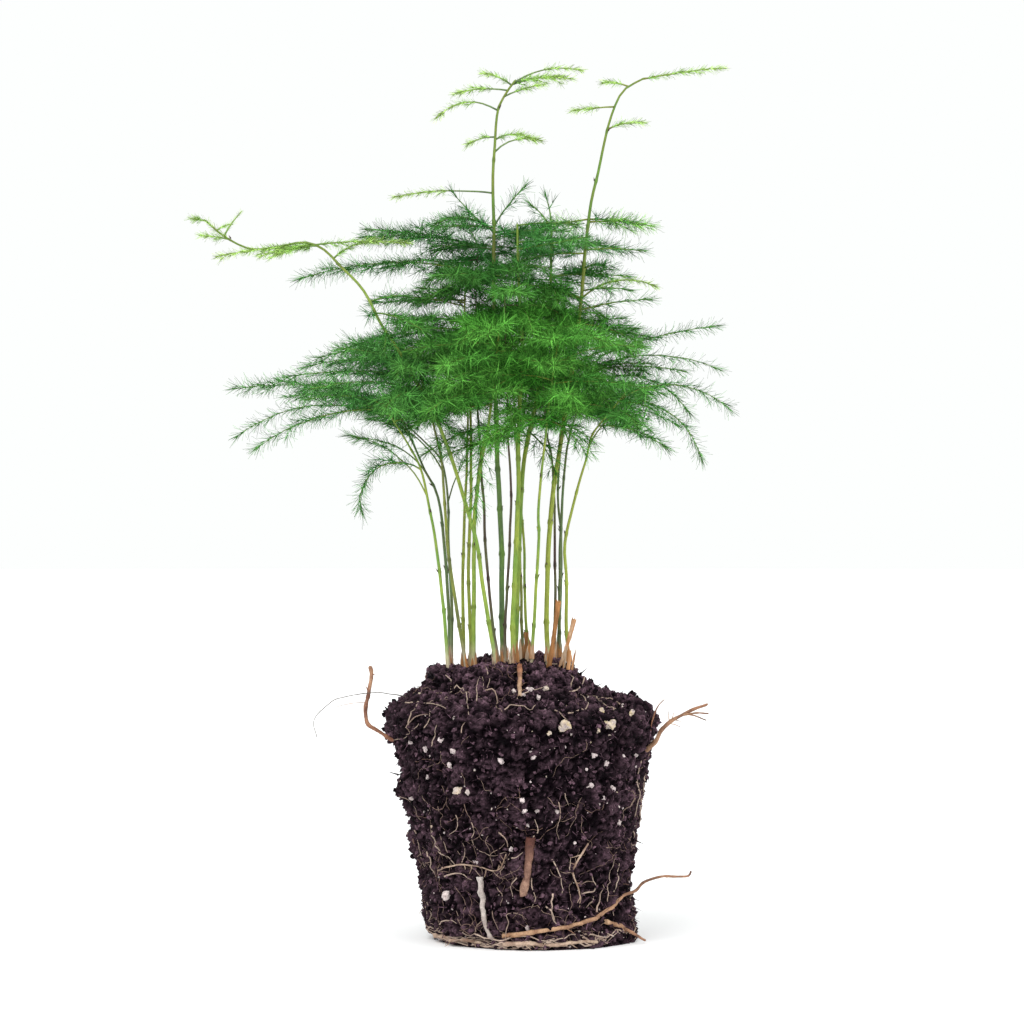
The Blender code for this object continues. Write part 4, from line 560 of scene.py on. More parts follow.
def raise_to(points, least):
    """Lifts the points that lie lower than a height."""
    for point in points:
        point.z = max(point.z, least)


# Curves

class Path:
    """A smooth curve through a few points, read by its length from the first."""

    STEPS = 16

    def __init__(self, points):
        points = [Vector(point) for point in points]
        ends = [2 * points[0] - points[1], *points, 2 * points[-1] - points[-2]]
        self.points = [points[0].copy()]
        for a, b, c, d in zip(ends, ends[1:], ends[2:], ends[3:]):
            for i in range(1, self.STEPS + 1):
                t = i / self.STEPS
                curve = (2 * a - 5 * b + 4 * c - d) * t**2 + (3 * b - a - 3 * c + d) * t**3
                self.points.append(0.5 * (2 * b + (c - a) * t + curve))
        steps = [(q - p).length for p, q in zip(self.points, self.points[1:])]
        self.reach = np.concatenate([[0.0], np.cumsum(steps)])
        self.length = float(self.reach[-1])

    def at(self, s):
        i = int(np.clip(np.searchsorted(self.reach, s) - 1, 0, len(self.points) - 2))
        share = (s - self.reach[i]) / max(self.reach[i + 1] - self.reach[i], 1e-9)
        return self.points[i].lerp(self.points[i + 1], clamp(share))

    def along(self, s):
        near = 0.6
        return (self.at(min(s + near, self.length)) - self.at(max(s - near, 0.0))).normalized()

    def at_height(self, z):
        """The length at which the curve first reaches that height."""
        reached = (float(self.reach[i]) for i, point in enumerate(self.points) if point.z >= z)
        return next(reached, self.length)


class Arc:
    """A spray's axis: it leaves its root along a heading and bends evenly from its rise to its fall."""

    def __init__(self, root, azimuth, length, rise, fall):
        turn = math.radians(azimuth)
        self.root, self.length = root, length
        self.heading = outwards(turn)
        self.side = Vector((-math.sin(turn), math.cos(turn), 0))
        self.rise = math.radians(rise)
        self.bend = math.radians(fall - rise if abs(fall - rise) > 0.5 else 0.5) / length

    def slope(self, s):
        return self.rise + self.bend * s

    def at(self, s):
        out = (math.sin(self.slope(s)) - math.sin(self.rise)) / self.bend
        up = (math.cos(self.rise) - math.cos(self.slope(s))) / self.bend
        return self.root + self.heading * out + Vector((0, 0, up))

    def along(self, s):
        return self.heading * math.cos(self.slope(s)) + Vector((0, 0, math.sin(self.slope(s))))


# Mesh shaping

class Heap:
    """Gathers many small meshes into one, because bmesh operators slow down as a mesh grows."""

    def __init__(self):
        self.bm = bmesh.new()
        self.mesh = bpy.data.meshes.new("heap")

    def add(self, bm):
        bm.to_mesh(self.mesh)
        bm.free()
        self.bm.from_mesh(self.mesh)

    def done(self):
        bpy.data.meshes.remove(self.mesh)
        return self.bm


def colour_layer(bm, name):
    """The mesh's colour attribute of that name."""
    layers = bm.verts.layers.float_color
    return layers.get(name) or layers.new(name)


def lay_ring(face, centre, along, side, radius):
    """Lays a face's corners as a regular ring round a point, square to along, with the least turn."""
    face.normal_update()
    up = along.cross(side)
    corners = [loop.vert for loop in face.loops]
    step = 2 * math.pi / len(corners)
    first = corners[0].co - face.calc_center_median()
    nearest = round(math.atan2(first.dot(up), first.dot(side)) / step - 0.5)
    sense = 1 if face.normal.dot(along) > 0 else -1
    for i, corner in enumerate(corners):
        angle = (nearest + sense * i + 0.5) * step
        corner.co = centre + (side * math.cos(angle) + up * math.sin(angle)) * radius
    return corners


def tube(bm, line, radii, sides, tip=0.0, paint=None):
    """A closed tube with a ring at each point of a line, drawn out to a tip of that length if it has one.
    paint(vert, i) colours a vertex of ring i. Returns the end face, or None past a tip."""
    ends = [2 * line[0] - line[1], *line, 2 * line[-1] - line[-2]]
    alongs = [(c - a).normalized() for a, b, c in zip(ends, ends[1:], ends[2:])]
    side = any_side(alongs[0])
    frame_of_start = Matrix((side, alongs[0].cross(side), alongs[0])).transposed().to_4x4()
    place = Matrix.Translation((line[0] + line[1]) / 2) @ frame_of_start
    depth = (line[1] - line[0]).length
    made = bmesh.ops.create_cone(
        bm, cap_ends=True, segments=sides, radius1=1, radius2=1, depth=depth, matrix=place
    )
    faces = {face for vert in made["verts"] for face in vert.link_faces}
    for face in faces:
        face.normal_update()
    end = min(faces, key=lambda face: face.normal.dot(alongs[0]))
    top = max(faces, key=lambda face: face.normal.dot(alongs[0]))
    for i, along in enumerate(alongs):
        side = (side - along * side.dot(along)).normalized()
        if i == 1:
            end = top
        elif i > 1:
            end = bmesh.ops.extrude_discrete_faces(bm, faces=[end])["faces"][0]
        corners = lay_ring(end, line[i], along, side, radii[i])
        if paint:
            for corner in corners:
                paint(corner, i)
    if tip:
        point = bmesh.ops.poke(bm, faces=[end])["verts"][0]
        point.co = line[-1] + alongs[-1] * tip
        if paint:
            paint(point, len(line) - 1)
        return None
    return end


def turned(point, along, turn=0.0, scale=1.0):
    """The place of a thing that is modelled up +Z: moved to point, turned along a direction and scaled."""
    return (
        Matrix.Translation(point) @ along.to_track_quat("Z", "Y").to_matrix().to_4x4()
        @ Matrix.Rotation(turn, 4, "Z") @ Matrix.Scale(scale, 4)
    )


def stamp(bm, mesh, place):
    """Adds a copy of a small mesh at a place, and returns its vertices. The bmesh may hold other stamps only,
    because what an operator deletes leaves room before the end."""
    bm.from_mesh(mesh)
    bm.verts.ensure_lookup_table()
    new = bm.verts[-len(mesh.vertices):]
    bmesh.ops.transform(bm, matrix=place, verts=new)
    return new


def pattern(bm, name):
    """A small mesh that is stamped many times."""
    mesh = bpy.data.meshes.new(name)
    bm.to_mesh(mesh)
    bm.free()
    return mesh


def finish(bm, name, nodes, materials, smooth=None):
    """Makes the piece from its mesh: in metres, at the origin, riding on the plant and standing for its
    nodes."""
    raise_to([vert.co for vert in bm.verts], 0.0)
    mesh = bpy.data.meshes.new(name)
    bm.to_mesh(mesh)
    bm.free()
    mesh.transform(Matrix.Scale(MM, 4))
    for material in materials:
        mesh.materials.append(material)
    if smooth is not None:
        mesh.shade_smooth()
        if smooth:
            mesh.set_sharp_from_angle(angle=math.radians(smooth))
    piece = bpy.data.objects.new(name, mesh)
    bpy.context.scene.collection.objects.link(piece)
    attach(piece, "root")
    if nodes:
        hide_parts(*nodes)
    triangles = sum(len(polygon.vertices) - 2 for polygon in mesh.polygons)
    print(f"{name}: {triangles} triangles")
    return piece


# Materials

def add_node(tree, kind, inputs=(), **settings):
    """Adds a shader node. inputs are pairs of an input and its plain value; settings are the node's own."""
    node = tree.nodes.new(f"ShaderNode{kind}")
    for key, value in settings.items():
        setattr(node, key, value)
    for key, value in inputs:
        node.inputs[key].default_value = value
    return node


def join(tree, *pairs):
    """Links each output to its input."""
    for output, socket in pairs:
        tree.links.new(output, socket)


def new_material(name, roughness, shine):
    """A new material, its node tree and the inputs of its Principled BSDF. shine is how much it mirrors."""
    material = bpy.data.materials.new(name)
    material.use_nodes = True
    tree = material.node_tree
    surface = tree.nodes["Principled BSDF"].inputs
    surface["Roughness"].default_value = roughness
    surface["Specular IOR Level"].default_value = shine
    return material, tree, surface


def grown_mottle():
    """A shared effect: two colours mixed in soft patches, with finer grain over them, for what grew."""
    group = bpy.data.node_groups.get("grown_mottle")
    if group:
        return group
    group = bpy.data.node_groups.new("grown_mottle", "ShaderNodeTree")
    for name, way, kind in (
        ("Colour", "INPUT", "Color"), ("Other colour", "INPUT", "Color"), ("Patch scale", "INPUT", "Float"),
        ("Grain scale", "INPUT", "Float"), ("Grain depth", "INPUT", "Float"), ("Vector", "INPUT", "Vector"),
        ("Colour", "OUTPUT", "Color"), ("Height", "OUTPUT", "Float"),
    ):
        group.interface.new_socket(name, in_out=way, socket_type=f"NodeSocket{kind}")
    given = group.nodes.new("NodeGroupInput")
    out = group.nodes.new("NodeGroupOutput")
    patch = add_node(group, "TexNoise", [("Detail", 3)])
    grain = add_node(group, "TexNoise", [("Detail", 4)])
    spread = add_node(group, "MapRange", [("From Min", 0.35), ("From Max", 0.65)])
    mix = add_node(group, "Mix", data_type="RGBA")
    deep = add_node(group, "MapRange", [("From Min", 0.3), ("From Max", 0.7)])
    low = add_node(group, "Math", [(0, 1.0)], operation="SUBTRACT")
    darken = add_node(group, "Mix", [("Factor", 1.0)], data_type="RGBA", blend_type="MULTIPLY")
    join(
        group,
        (given.outputs["Vector"], patch.inputs["Vector"]),
        (given.outputs["Vector"], grain.inputs["Vector"]),
        (given.outputs["Patch scale"], patch.inputs["Scale"]),
        (given.outputs["Grain scale"], grain.inputs["Scale"]),
        (patch.outputs["Fac"], spread.inputs["Value"]),
        (spread.outputs["Result"], mix.inputs["Factor"]),
        (given.outputs["Colour"], mix.inputs["A"]),
        (given.outputs["Other colour"], mix.inputs["B"]),
        (grain.outputs["Fac"], deep.inputs["Value"]),
        (given.outputs["Grain depth"], low.inputs[1]),
        (low.outputs[0], deep.inputs["To Min"]),
        (mix.outputs["Result"], darken.inputs["A"]),
        (deep.outputs["Result"], darken.inputs["B"]),
        (darken.outputs["Result"], out.inputs["Colour"]),
        (grain.outputs["Fac"], out.inputs["Height"]),
    )
    return group


def grown_material(
    name, colour, other, patch, grain, depth, roughness, bump, stretch=(1, 1, 1), rough_to=None, shine=0.25
):
    """A material whose colour comes from the shared mottle, read from the object's own coordinates.
    colour and other are colours, or the name of an attribute of the piece. patch, grain and depth are the
    mottle's, bump is the height of its relief, and rough_to spreads the roughness."""
    found = bpy.data.materials.get(name)
    if found:
        return found
    material, tree, surface = new_material(name, roughness, shine)
    place = add_node(tree, "TexCoord")
    mapping = add_node(tree, "Mapping", [("Scale", stretch)])
    mottle = add_node(tree, "Group", node_tree=grown_mottle())
    for key, value in (("Patch scale", patch), ("Grain scale", grain), ("Grain depth", depth)):
        mottle.inputs[key].default_value = value
    for key, value in (("Colour", colour), ("Other colour", other)):
        if isinstance(value, str):
            attribute = add_node(tree, "Attribute", attribute_name=value)
            join(tree, (attribute.outputs["Color"], mottle.inputs[key]))
        else:
            mottle.inputs[key].default_value = (*value, 1)
    relief = add_node(tree, "Bump", [("Strength", 0.7), ("Distance", bump)])
    join(
        tree,
        (place.outputs["Object"], mapping.inputs["Vector"]),
        (mapping.outputs["Vector"], mottle.inputs["Vector"]),
        (mottle.outputs["Colour"], surface["Base Color"]),
        (mottle.outputs["Height"], relief.inputs["Height"]),
        (relief.outputs["Normal"], surface["Normal"]),
    )
    if rough_to is not None:
        ends = [("From Min", 0.4), ("From Max", 0.6), ("To Min", rough_to), ("To Max", roughness)]
        spread = add_node(tree, "MapRange", ends)
        join(
            tree,
            (mottle.outputs["Height"], spread.inputs["Value"]),
            (spread.outputs["Result"], surface["Roughness"]),
        )
    return material


def needle_material():
    """Needles: deep to bright green by the painted light and shade of their spray, yellow-green where young,
    each a little different, and a few painted much brighter as glints.
    """
    found = bpy.data.materials.get("needle_green")
    if found:
        return found
    material, tree, surface = new_material("needle_green", roughness=0.5, shine=0.02)
    c = colours()
    growth = add_node(tree, "Attribute", attribute_name="growth")
    split = add_node(tree, "SeparateColor")
    ends = [("A", (*c.needle_deep, 1)), ("B", (*c.needle_bright, 1))]
    bright = add_node(tree, "Mix", ends, data_type="RGBA")
    cool = add_node(tree, "Mix", [("B", (*c.needle_cool, 1))], data_type="RGBA")
    young = add_node(tree, "Mix", [("B", (*c.needle_young, 1))], data_type="RGBA")
    # Each needle's value becomes a factor from 0.42 to 3.3: its own random tone, or for a few needles a
    # painted glint.
    shade = add_node(tree, "MapRange", [("To Min", 0.42), ("To Max", 3.3)])
    vary = add_node(tree, "Mix", [("Factor", 1.0)], data_type="RGBA", blend_type="MULTIPLY")
    join(
        tree,
        (growth.outputs["Color"], split.inputs["Color"]),
        (split.outputs["Red"], bright.inputs["Factor"]),
        (split.outputs["Green"], young.inputs["Factor"]),
        (split.outputs["Blue"], shade.inputs["Value"]),
        (growth.outputs["Alpha"], cool.inputs["Factor"]),
        (bright.outputs["Result"], cool.inputs["A"]),
        (cool.outputs["Result"], young.inputs["A"]),
        (young.outputs["Result"], vary.inputs["A"]),
        (shade.outputs["Result"], vary.inputs["B"]),
        (vary.outputs["Result"], surface["Base Color"]),
    )
    return material


def crumb_material():
    return grown_material(
        "peat", "crumb", "crumb_other", patch=500, grain=1500, depth=0.88, roughness=0.95, bump=0.0006,
        rough_to=0.5, shine=0.05,
    )


def perlite_material():
    """Perlite: white to pinkish, yellowed where the stain says so, with a pitted surface that holds some
    soil."""
    c = colours()
    material = grown_material(
        "perlite", c.perlite, darker(c.perlite, 0.6), patch=420, grain=2600, depth=0.5, roughness=0.85,
        bump=0.0004,
    )
    tree = material.node_tree
    mottle = next(node for node in tree.nodes if node.type == "GROUP")
    stain = add_node(tree, "Attribute", attribute_name="stain")
    ends = [("A", (*c.perlite, 1)), ("B", (*c.perlite_stained, 1))]
    mix = add_node(tree, "Mix", ends, data_type="RGBA")
    join(
        tree,
        (stain.outputs["Fac"], mix.inputs["Factor"]),
        (mix.outputs["Result"], mottle.inputs["Colour"]),
    )
    return material


def husk_material():
    return grown_material(
        "dry_husk", "husk", "husk_other", patch=420, grain=1800, depth=0.45, roughness=0.75, bump=0.0002,
        stretch=(1, 1, 0.12),
    )


def thread_material():
    return grown_material(
        "root_thread", "thread", "thread_other", patch=260, grain=1700, depth=0.4, roughness=0.75, bump=0.0001
    )


def stalk_material():
    return grown_material(
        "stalk", "stalk", "stalk_other", patch=240, grain=1500, depth=0.35, roughness=0.42, bump=0.0001,
        stretch=(1, 1, 0.25),
    )


# Soil

def soil_push(point):
    """How far the soil stands out at a point, from its lumps and clods."""
    push = sum(height * noise.noise(point / size) for size, height in SOIL_LUMPS)
    for x, y, z, radius, out in CLODS:
        away = (point - Vector((x, y, z))).length / radius
        push += out * math.exp(-away * away)
    return push


def facing(out, height):
    """The way that the soil faces at a height, where out is the level way from the ball's middle."""
    steep = clamp((height - MOUND_FOOT) / MOUND_TURN)
    return (out * (1 - 0.8 * steep) + Vector((0, 0, steep))).normalized()


def ball_surface(radius, height, angle):
    """A point of the ball's lumpy surface, from its outline's radius and height and a turn about Z."""
    out = outwards(angle)
    point = out * radius + Vector((between(BALL_MIDDLES, height), 0, height))
    if height <= 0:
        return point + out * 0.4 * soil_push(point)
    return point + facing(out, height) * soil_push(point)


def ball_radius(height):
    """The outline's radius at a height."""
    return between([(z, radius) for radius, z in BALL_OUTLINE], height)


def on_front(x, z, sunk=0.0):
    """The point of the solid ball's front that is seen at x and z of the plane y = 0, sunk that far."""
    sight = Vector((x, 0, z)) - VIEWER
    surface = Vector((x, 0, z))
    for _ in range(4):
        near = VIEWER + sight * ((surface.y - VIEWER.y) / -VIEWER.y)
        radius = ball_radius(near.z)
        cosine = (near.x - between(BALL_MIDDLES, near.z)) / radius
        angle = -math.acos(clamp(cosine, -0.99, 0.99))
        surface = ball_surface(radius, near.z, angle)
    return surface - outwards(angle) * sunk


def crumb_relief(point):
    """How far the soil's crumbs stand out: rounded cells of a few sizes with creases between."""
    relief = 0.0
    for size, height in CRUMB_CELLS:
        near, far = noise.voronoi(point / size + noise.noise_vector(point / size) * 0.4)[0][:2]
        relief += height * (min(far - near, 0.6) - 0.3)
    return relief + 1.5 * noise.noise(point / 1.5) + 1.0 * noise.noise(point / 9.0)


def crumb_layers(bm):
    return [colour_layer(bm, name) for name in ("crumb", "crumb_other")]


def shade_crumb(verts, layers, light):
    """Colours soil from moist and dark (0) to dry (1) and past it; on the soil itself the darkness in its
    creases is painted shade.
    """
    colour = mixed(colours().soil, colours().soil_dry, light)
    for vert in verts:
        vert[layers[0]] = (*colour, 1)
        vert[layers[1]] = (*darker(colour, 0.5), 1)


class SoilSkin:
    """The finished soil's surface in millimetres, for laying things on it. What a ray meets is a pair of the
    place and the surface's normal there, or None."""

    SIDE_SHARE = 0.72  # how much of what is scattered lands on the side
    SIDE_HEIGHTS = (0.8, 92)
    MOUND_REACH = 50  # radius of the mound
    MOUND_LEAST = 80  # lowest height that counts as the mound

    def __init__(self):
        bm = bmesh.new()
        bm.from_mesh(bpy.data.objects["soil"].data)
        bm.transform(Matrix.Scale(1 / MM, 4))
        self.tree = BVHTree.FromBMesh(bm)
        bm.free()

    def hit(self, start, way):
        place, normal, _, _ = self.tree.ray_cast(start, way.normalized())
        return (place, normal) if place is not None else None

    def seen(self, x, z):
        """What the camera sees at x and z of the plane y = 0."""
        return self.hit(VIEWER, Vector((x, 0, z)) - VIEWER)

    def beside(self, angle, height):
        """The side of the ball at that turn and height."""
        out = outwards(angle)
        middle = Vector((between(BALL_MIDDLES, height), 0, height))
        return self.hit(middle + out * 120, -out)

    def above(self, x, y):
        """The top of the ball at x and y."""
        return self.hit(Vector((x, y, 200)), Vector((0, 0, -1)))

    def settle(self, point, lift):
        """The point moved out or in to stand that far off the soil, and the way that the soil faces there."""
        out = Vector((point.x - between(BALL_MIDDLES, point.z), point.y, 0)).normalized()
        way = facing(out, point.z)
        found = self.hit(point + way * 6, -way)
        if found and (found[0] - point).length < 4.5:
            return found[0] + way * lift, way
        return point, way

    def anywhere(self, draw):
        """A place drawn evenly over the side and the mound, its normal, and whether it is on the mound."""
        while True:
            if draw.random() < self.SIDE_SHARE:
                found = self.beside(drawn_angle(draw), draw.uniform(*self.SIDE_HEIGHTS))
                if found:
                    return (*found, False)
            else:
                angle, away = drawn_angle(draw), self.MOUND_REACH * math.sqrt(draw.random())
                found = self.above(MOUND_MIDDLE + away * math.cos(angle), away * math.sin(angle))
                if found and found[0].z > self.MOUND_LEAST:
                    return (*found, True)


class FERN_OT_soil(bpy.types.Operator):
    """Build the root ball's soil: its solid's outline turned about Z, lumpy and covered in crumbs"""

    bl_idname = "fern.soil"
    bl_label = "Soil"

    SIDES = 310
    RINGS = 215
    PALE_FROM, PALE_TO = 92, 104  # heights over which the mound turns paler
    PALER = 1.1

    def execute(self, context):
        outline = Path([(radius, 0, height) for radius, height in BALL_OUTLINE])
        bm = bmesh.new()
        verts = [bm.verts.new(outline.at(s)) for s in even(outline.length, outline.length / self.RINGS)]
        edges = [bm.edges.new(pair) for pair in zip(verts, verts[1:])]
        bmesh.ops.spin(
            bm, geom=verts + edges, cent=(0, 0, 0), axis=(0, 0, 1), angle=2 * math.pi, steps=self.SIDES,
            use_merge=True,
        )
        for vert in bm.verts:
            radius, angle = math.hypot(vert.co.x, vert.co.y), math.atan2(vert.co.y, vert.co.x)
            vert.co = ball_surface(radius, max(vert.co.z, 0.0), angle)
        bmesh.ops.holes_fill(bm, edges=bm.edges, sides=0)
        bmesh.ops.poke(bm, faces=[face for face in bm.faces if len(face.verts) > 4])
        bmesh.ops.recalc_face_normals(bm, faces=bm.faces)
        bm.normal_update()
        layers = crumb_layers(bm)
        for vert in bm.verts:
            relief = crumb_relief(vert.co)
            # Painted shade: the soil is painted darker down in the creases of its relief and paler on the
            # crumbs' tops; up the mound it turns paler too.
            light = 1 + self.PALER * clamp((vert.co.z - self.PALE_FROM) / (self.PALE_TO - self.PALE_FROM))
            shade_crumb([vert], layers, light * clamp((relief + 1.1) / 2.4) ** 1.3)
            if vert.co.z > 0.01:
                vert.co += vert.normal * relief
                vert.co.z = max(vert.co.z, 0.15)
        finish(bm, "soil", ["root_ball"], [crumb_material()])
        return {"FINISHED"}


def lumps(draw, count, subdivisions):
    """Patterns of rounded, pitted grit, 1 mm in radius."""
    made = []
    for i in range(count):
        bm = bmesh.new()
        bmesh.ops.create_icosphere(bm, subdivisions=subdivisions, radius=1.0)
        shift = drawn_vector(draw, 0, 1) * 90
        for vert in bm.verts:
            pits = 0.7 * noise.noise(vert.co * 1.7 + shift) + 0.35 * noise.noise(vert.co * 4 + shift)
            vert.co *= 1 + pits
        bmesh.ops.scale(bm, verts=bm.verts, vec=(1, draw.uniform(0.6, 1), draw.uniform(0.4, 0.9)))
        made.append(pattern(bm, f"lump_{i}"))
    return made


def clods(draw, count):
    """Patterns of broken, angular soil crumbs, 1 mm in radius: cubes knocked out of shape."""
    made = []
    for i in range(count):
        bm = bmesh.new()
        bmesh.ops.create_cube(bm, size=1.35)
        for vert in bm.verts:
            vert.co += drawn_vector(draw) * 0.42
        bmesh.ops.triangulate(bm, faces=bm.faces)
        bmesh.ops.scale(bm, verts=bm.verts, vec=(1, draw.uniform(0.6, 1), draw.uniform(0.3, 0.9)))
        made.append(pattern(bm, f"clod_{i}"))
    return made


class FERN_OT_crumbs(bpy.types.Operator):
    """Scatter soil crumbs and peat fibres over the ball"""

    bl_idname = "fern.crumbs"
    bl_label = "Crumbs"

    PATTERNS = 30
    BATCH = 25  # how many crumbs are shaped together before they join the heap

    def execute(self, context):
        draw = random.Random(SEEDS["crumbs"])
        skin, heap = SoilSkin(), Heap()
        batch = bmesh.new()
        layers = crumb_layers(batch)
        waiting = 0

        def add(mesh, place, light):
            nonlocal batch, layers, waiting
            shade_crumb(stamp(batch, mesh, place), layers, light)
            waiting += 1
            if waiting == self.BATCH:
                heap.add(batch)
                batch = bmesh.new()
                layers, waiting = crumb_layers(batch), 0

        patterns = clods(draw, self.PATTERNS)
        middling = sizes().crumb_size / MM
        for _ in range(sizes().crumbs):
            place, normal, mound = skin.anywhere(draw)
            size = middling * draw.choice((0.4, 0.5, 0.6, 0.75, 0.9, 1.1, 1.5 if mound else 1.25))
            centre = place + normal * size * draw.uniform(-0.1, 0.7)
            centre.z = max(centre.z, size)
            way = drawn_vector(draw).normalized()
            mesh = draw.choice(patterns)
            add(mesh, turned(centre, way, drawn_turn(draw), size), draw.random() ** 1.8 * 1.6)
        sliver = bmesh.new()
        bmesh.ops.create_cone(sliver, cap_ends=True, segments=3, radius1=1, radius2=0, depth=1)
        sliver = pattern(sliver, "sliver")

        def lay(root, tip, radius, light):
            length = (tip - root).length
            place = turned((root + tip) / 2, (tip - root).normalized(), drawn_turn(draw))
            add(sliver, place @ Matrix.Diagonal((radius, radius * 0.6, length, 1)), light)

        for _ in range(sizes().fibres):
            place, normal, _ = skin.anywhere(draw)
            way = round_about(draw, normal) + normal * draw.uniform(-0.1, 0.6)
            length = draw.uniform(1.4, 5.5)
            root = place - way.normalized() * length * 0.25
            tip = root + way.normalized() * length
            lay(root, tip, draw.uniform(0.1, 0.42), draw.random() ** 1.7 * 2.2)
        for root, tip, radius in SLIVERS:
            lay(Vector(root), Vector(tip), radius, 0.2)
        heap.add(batch)
        finish(heap.done(), "soil_crumbs", [], [crumb_material()])
        return {"FINISHED"}


class FERN_OT_perlite(bpy.types.Operator):
    """Set perlite grains into the soil: the front's by place, the rest by rule"""

    bl_idname = "fern.perlite"
    bl_label = "Perlite"

    FRONT = -15  # nearer than this y the grains of any size are placed, so the drawn ones stay small

    def execute(self, context):
        draw = random.Random(SEEDS["perlite"])
        skin, heap = SoilSkin(), Heap()
        large, small = lumps(draw, 10, 2), lumps(draw, 16, 1)

        def grain(patterns, place, normal, size, stain):
            bm = bmesh.new()
            layer = colour_layer(bm, "stain")
            way = (normal + drawn_vector(draw) * 0.5).normalized()
            mesh = draw.choice(patterns)
            for vert in stamp(bm, mesh, turned(place, way, drawn_turn(draw), size)):
                vert[layer] = (stain, stain, stain, 1)
            heap.add(bm)

        for x, z, size, stain in FRONT_GRAINS:
            found = skin.seen(x, z)
            if not found:
                continue
            place, normal = found
            for k in range(1 if size < 1 else 3 if size < 2 else 5):
                shift = round_about(draw, normal) * size * (0.62 if k else 0.0)
                part = size * (draw.uniform(0.35, 0.6) if k else 0.8)
                yellow = min(1, stain * draw.uniform(0.7, 1.3))
                grain(large, place + shift + normal * 0.1, normal, part, yellow)
        for _ in range(sizes().grains):
            place, normal, mound = skin.anywhere(draw)
            stained = draw.random() < (0.4 if mound else 0.12)
            stain = draw.uniform(0.5, 1) if stained else draw.uniform(0, 0.25)
            little = place.y < self.FRONT or draw.random() < 0.6
            size = draw.uniform(0.2, 0.6) if little else draw.uniform(0.7, 1.7)
            grain(small, place, normal, size, stain)
        finish(heap.done(), "perlite", [], [perlite_material()], smooth=35)
        return {"FINISHED"}


# Roots

def root_path(root):
    points = []
    for point in root["route"]:
        points.append(Vector(point) if len(point) == 3 else on_front(*point, sunk=0.35 * root["radius"]))
    raise_to(points, root["radius"] + 0.4)
    return Path(points)


def back_root_routes():
    """Roots that run down the back and sides of the ball, each a slow wave round it."""
    draw = random.Random(SEEDS["back_roots"])
    routes = {}
    for i in range(BACK_ROOTS):
        angle = math.pi * (0.12 + 0.76 * (i + 0.5) / BACK_ROOTS)
        drift = draw.uniform(-0.5, 0.5)
        points = []
        for k in range(6):
            height = 52 - 8.6 * k
            turn = angle + drift * k / 5 + 0.07 * math.sin(2.1 * k + i)
            points.append(ball_surface(ball_radius(height), height, turn) - outwards(turn) * 0.25)
        routes[f"back_{i + 1}"] = dict(
            radius=draw.uniform(0.6, 0.9), taper=0.4, skin="pale", rootlets=7, laid=True, route=points
        )
    return routes


def rim_root_routes():
    """Roots that circle the foot of the ball, as they grew round the pot's corner."""
    routes = {}
    for name, (first, last) in RIM_ROOTS.items():
        points = []
        for k in range(5):
            turn = math.radians(first + (last - first) * k / 4)
            height = RIM_HEIGHT + 0.5 * math.sin(2.4 * k + first)
            points.append(ball_surface(ball_radius(height), height, turn) - outwards(turn) * 0.3)
        routes[name] = dict(
            radius=RIM_RADIUS, taper=0.4, skin="pale", rootlets=6, laid=True, route=points
        )
    return routes


def rooty_line(path, radius, taper, draw, wander=0.35):
    """Points of a root along its path, wandering a little, and its uneven radii."""
    shift = drawn_vector(draw, 0, 90)
    line, radii = [], []
    for s in even(path.length, clamp(radius, 0.7)):
        point = path.at(s)
        line.append(point + noise.noise_vector(point / 5 + shift) * wander * min(1.0, s / 6))
        rough = 1 + 0.26 * noise.noise(point / 2.2 + shift) + 0.16 * noise.noise(point / 0.9 + shift)
        radii.append(radius * (1.0 - taper * s / path.length) * rough)
    for point, thick in zip(line, radii):
        point.z = max(point.z, thick + 0.1)
    return line, radii


def bridge(skin, line, lift):
    """Lifts the points of a line onto the soil where they run under it, and over its creases."""
    placed = [skin.settle(point, lift) for point in line]
    rise = [(there - point).dot(way) for point, (there, way) in zip(line, placed)]
    around = zip(rise[:1] + rise, rise, rise[1:] + rise[-1:])
    smooth = [max(b, 0.5 * b + 0.25 * (a + c)) for a, b, c in around]
    return [
        point + way * up if up > 0 else point.copy() for point, (_, way), up in zip(line, placed, smooth)
    ]


def coat(bm, first, other):
    """Makes layers for a tube's two colours. Returns a painter that takes them from the first ring to the
    last."""
    layers = [colour_layer(bm, name) for name in (first, other)]

    def painter(starts, ends, count):
        def paint(vert, i):
            share = i / max(1, count - 1)
            for layer, a, b in zip(layers, starts, ends):
                vert[layer] = (*mixed(a, b, share), 1)

        return paint

    return painter


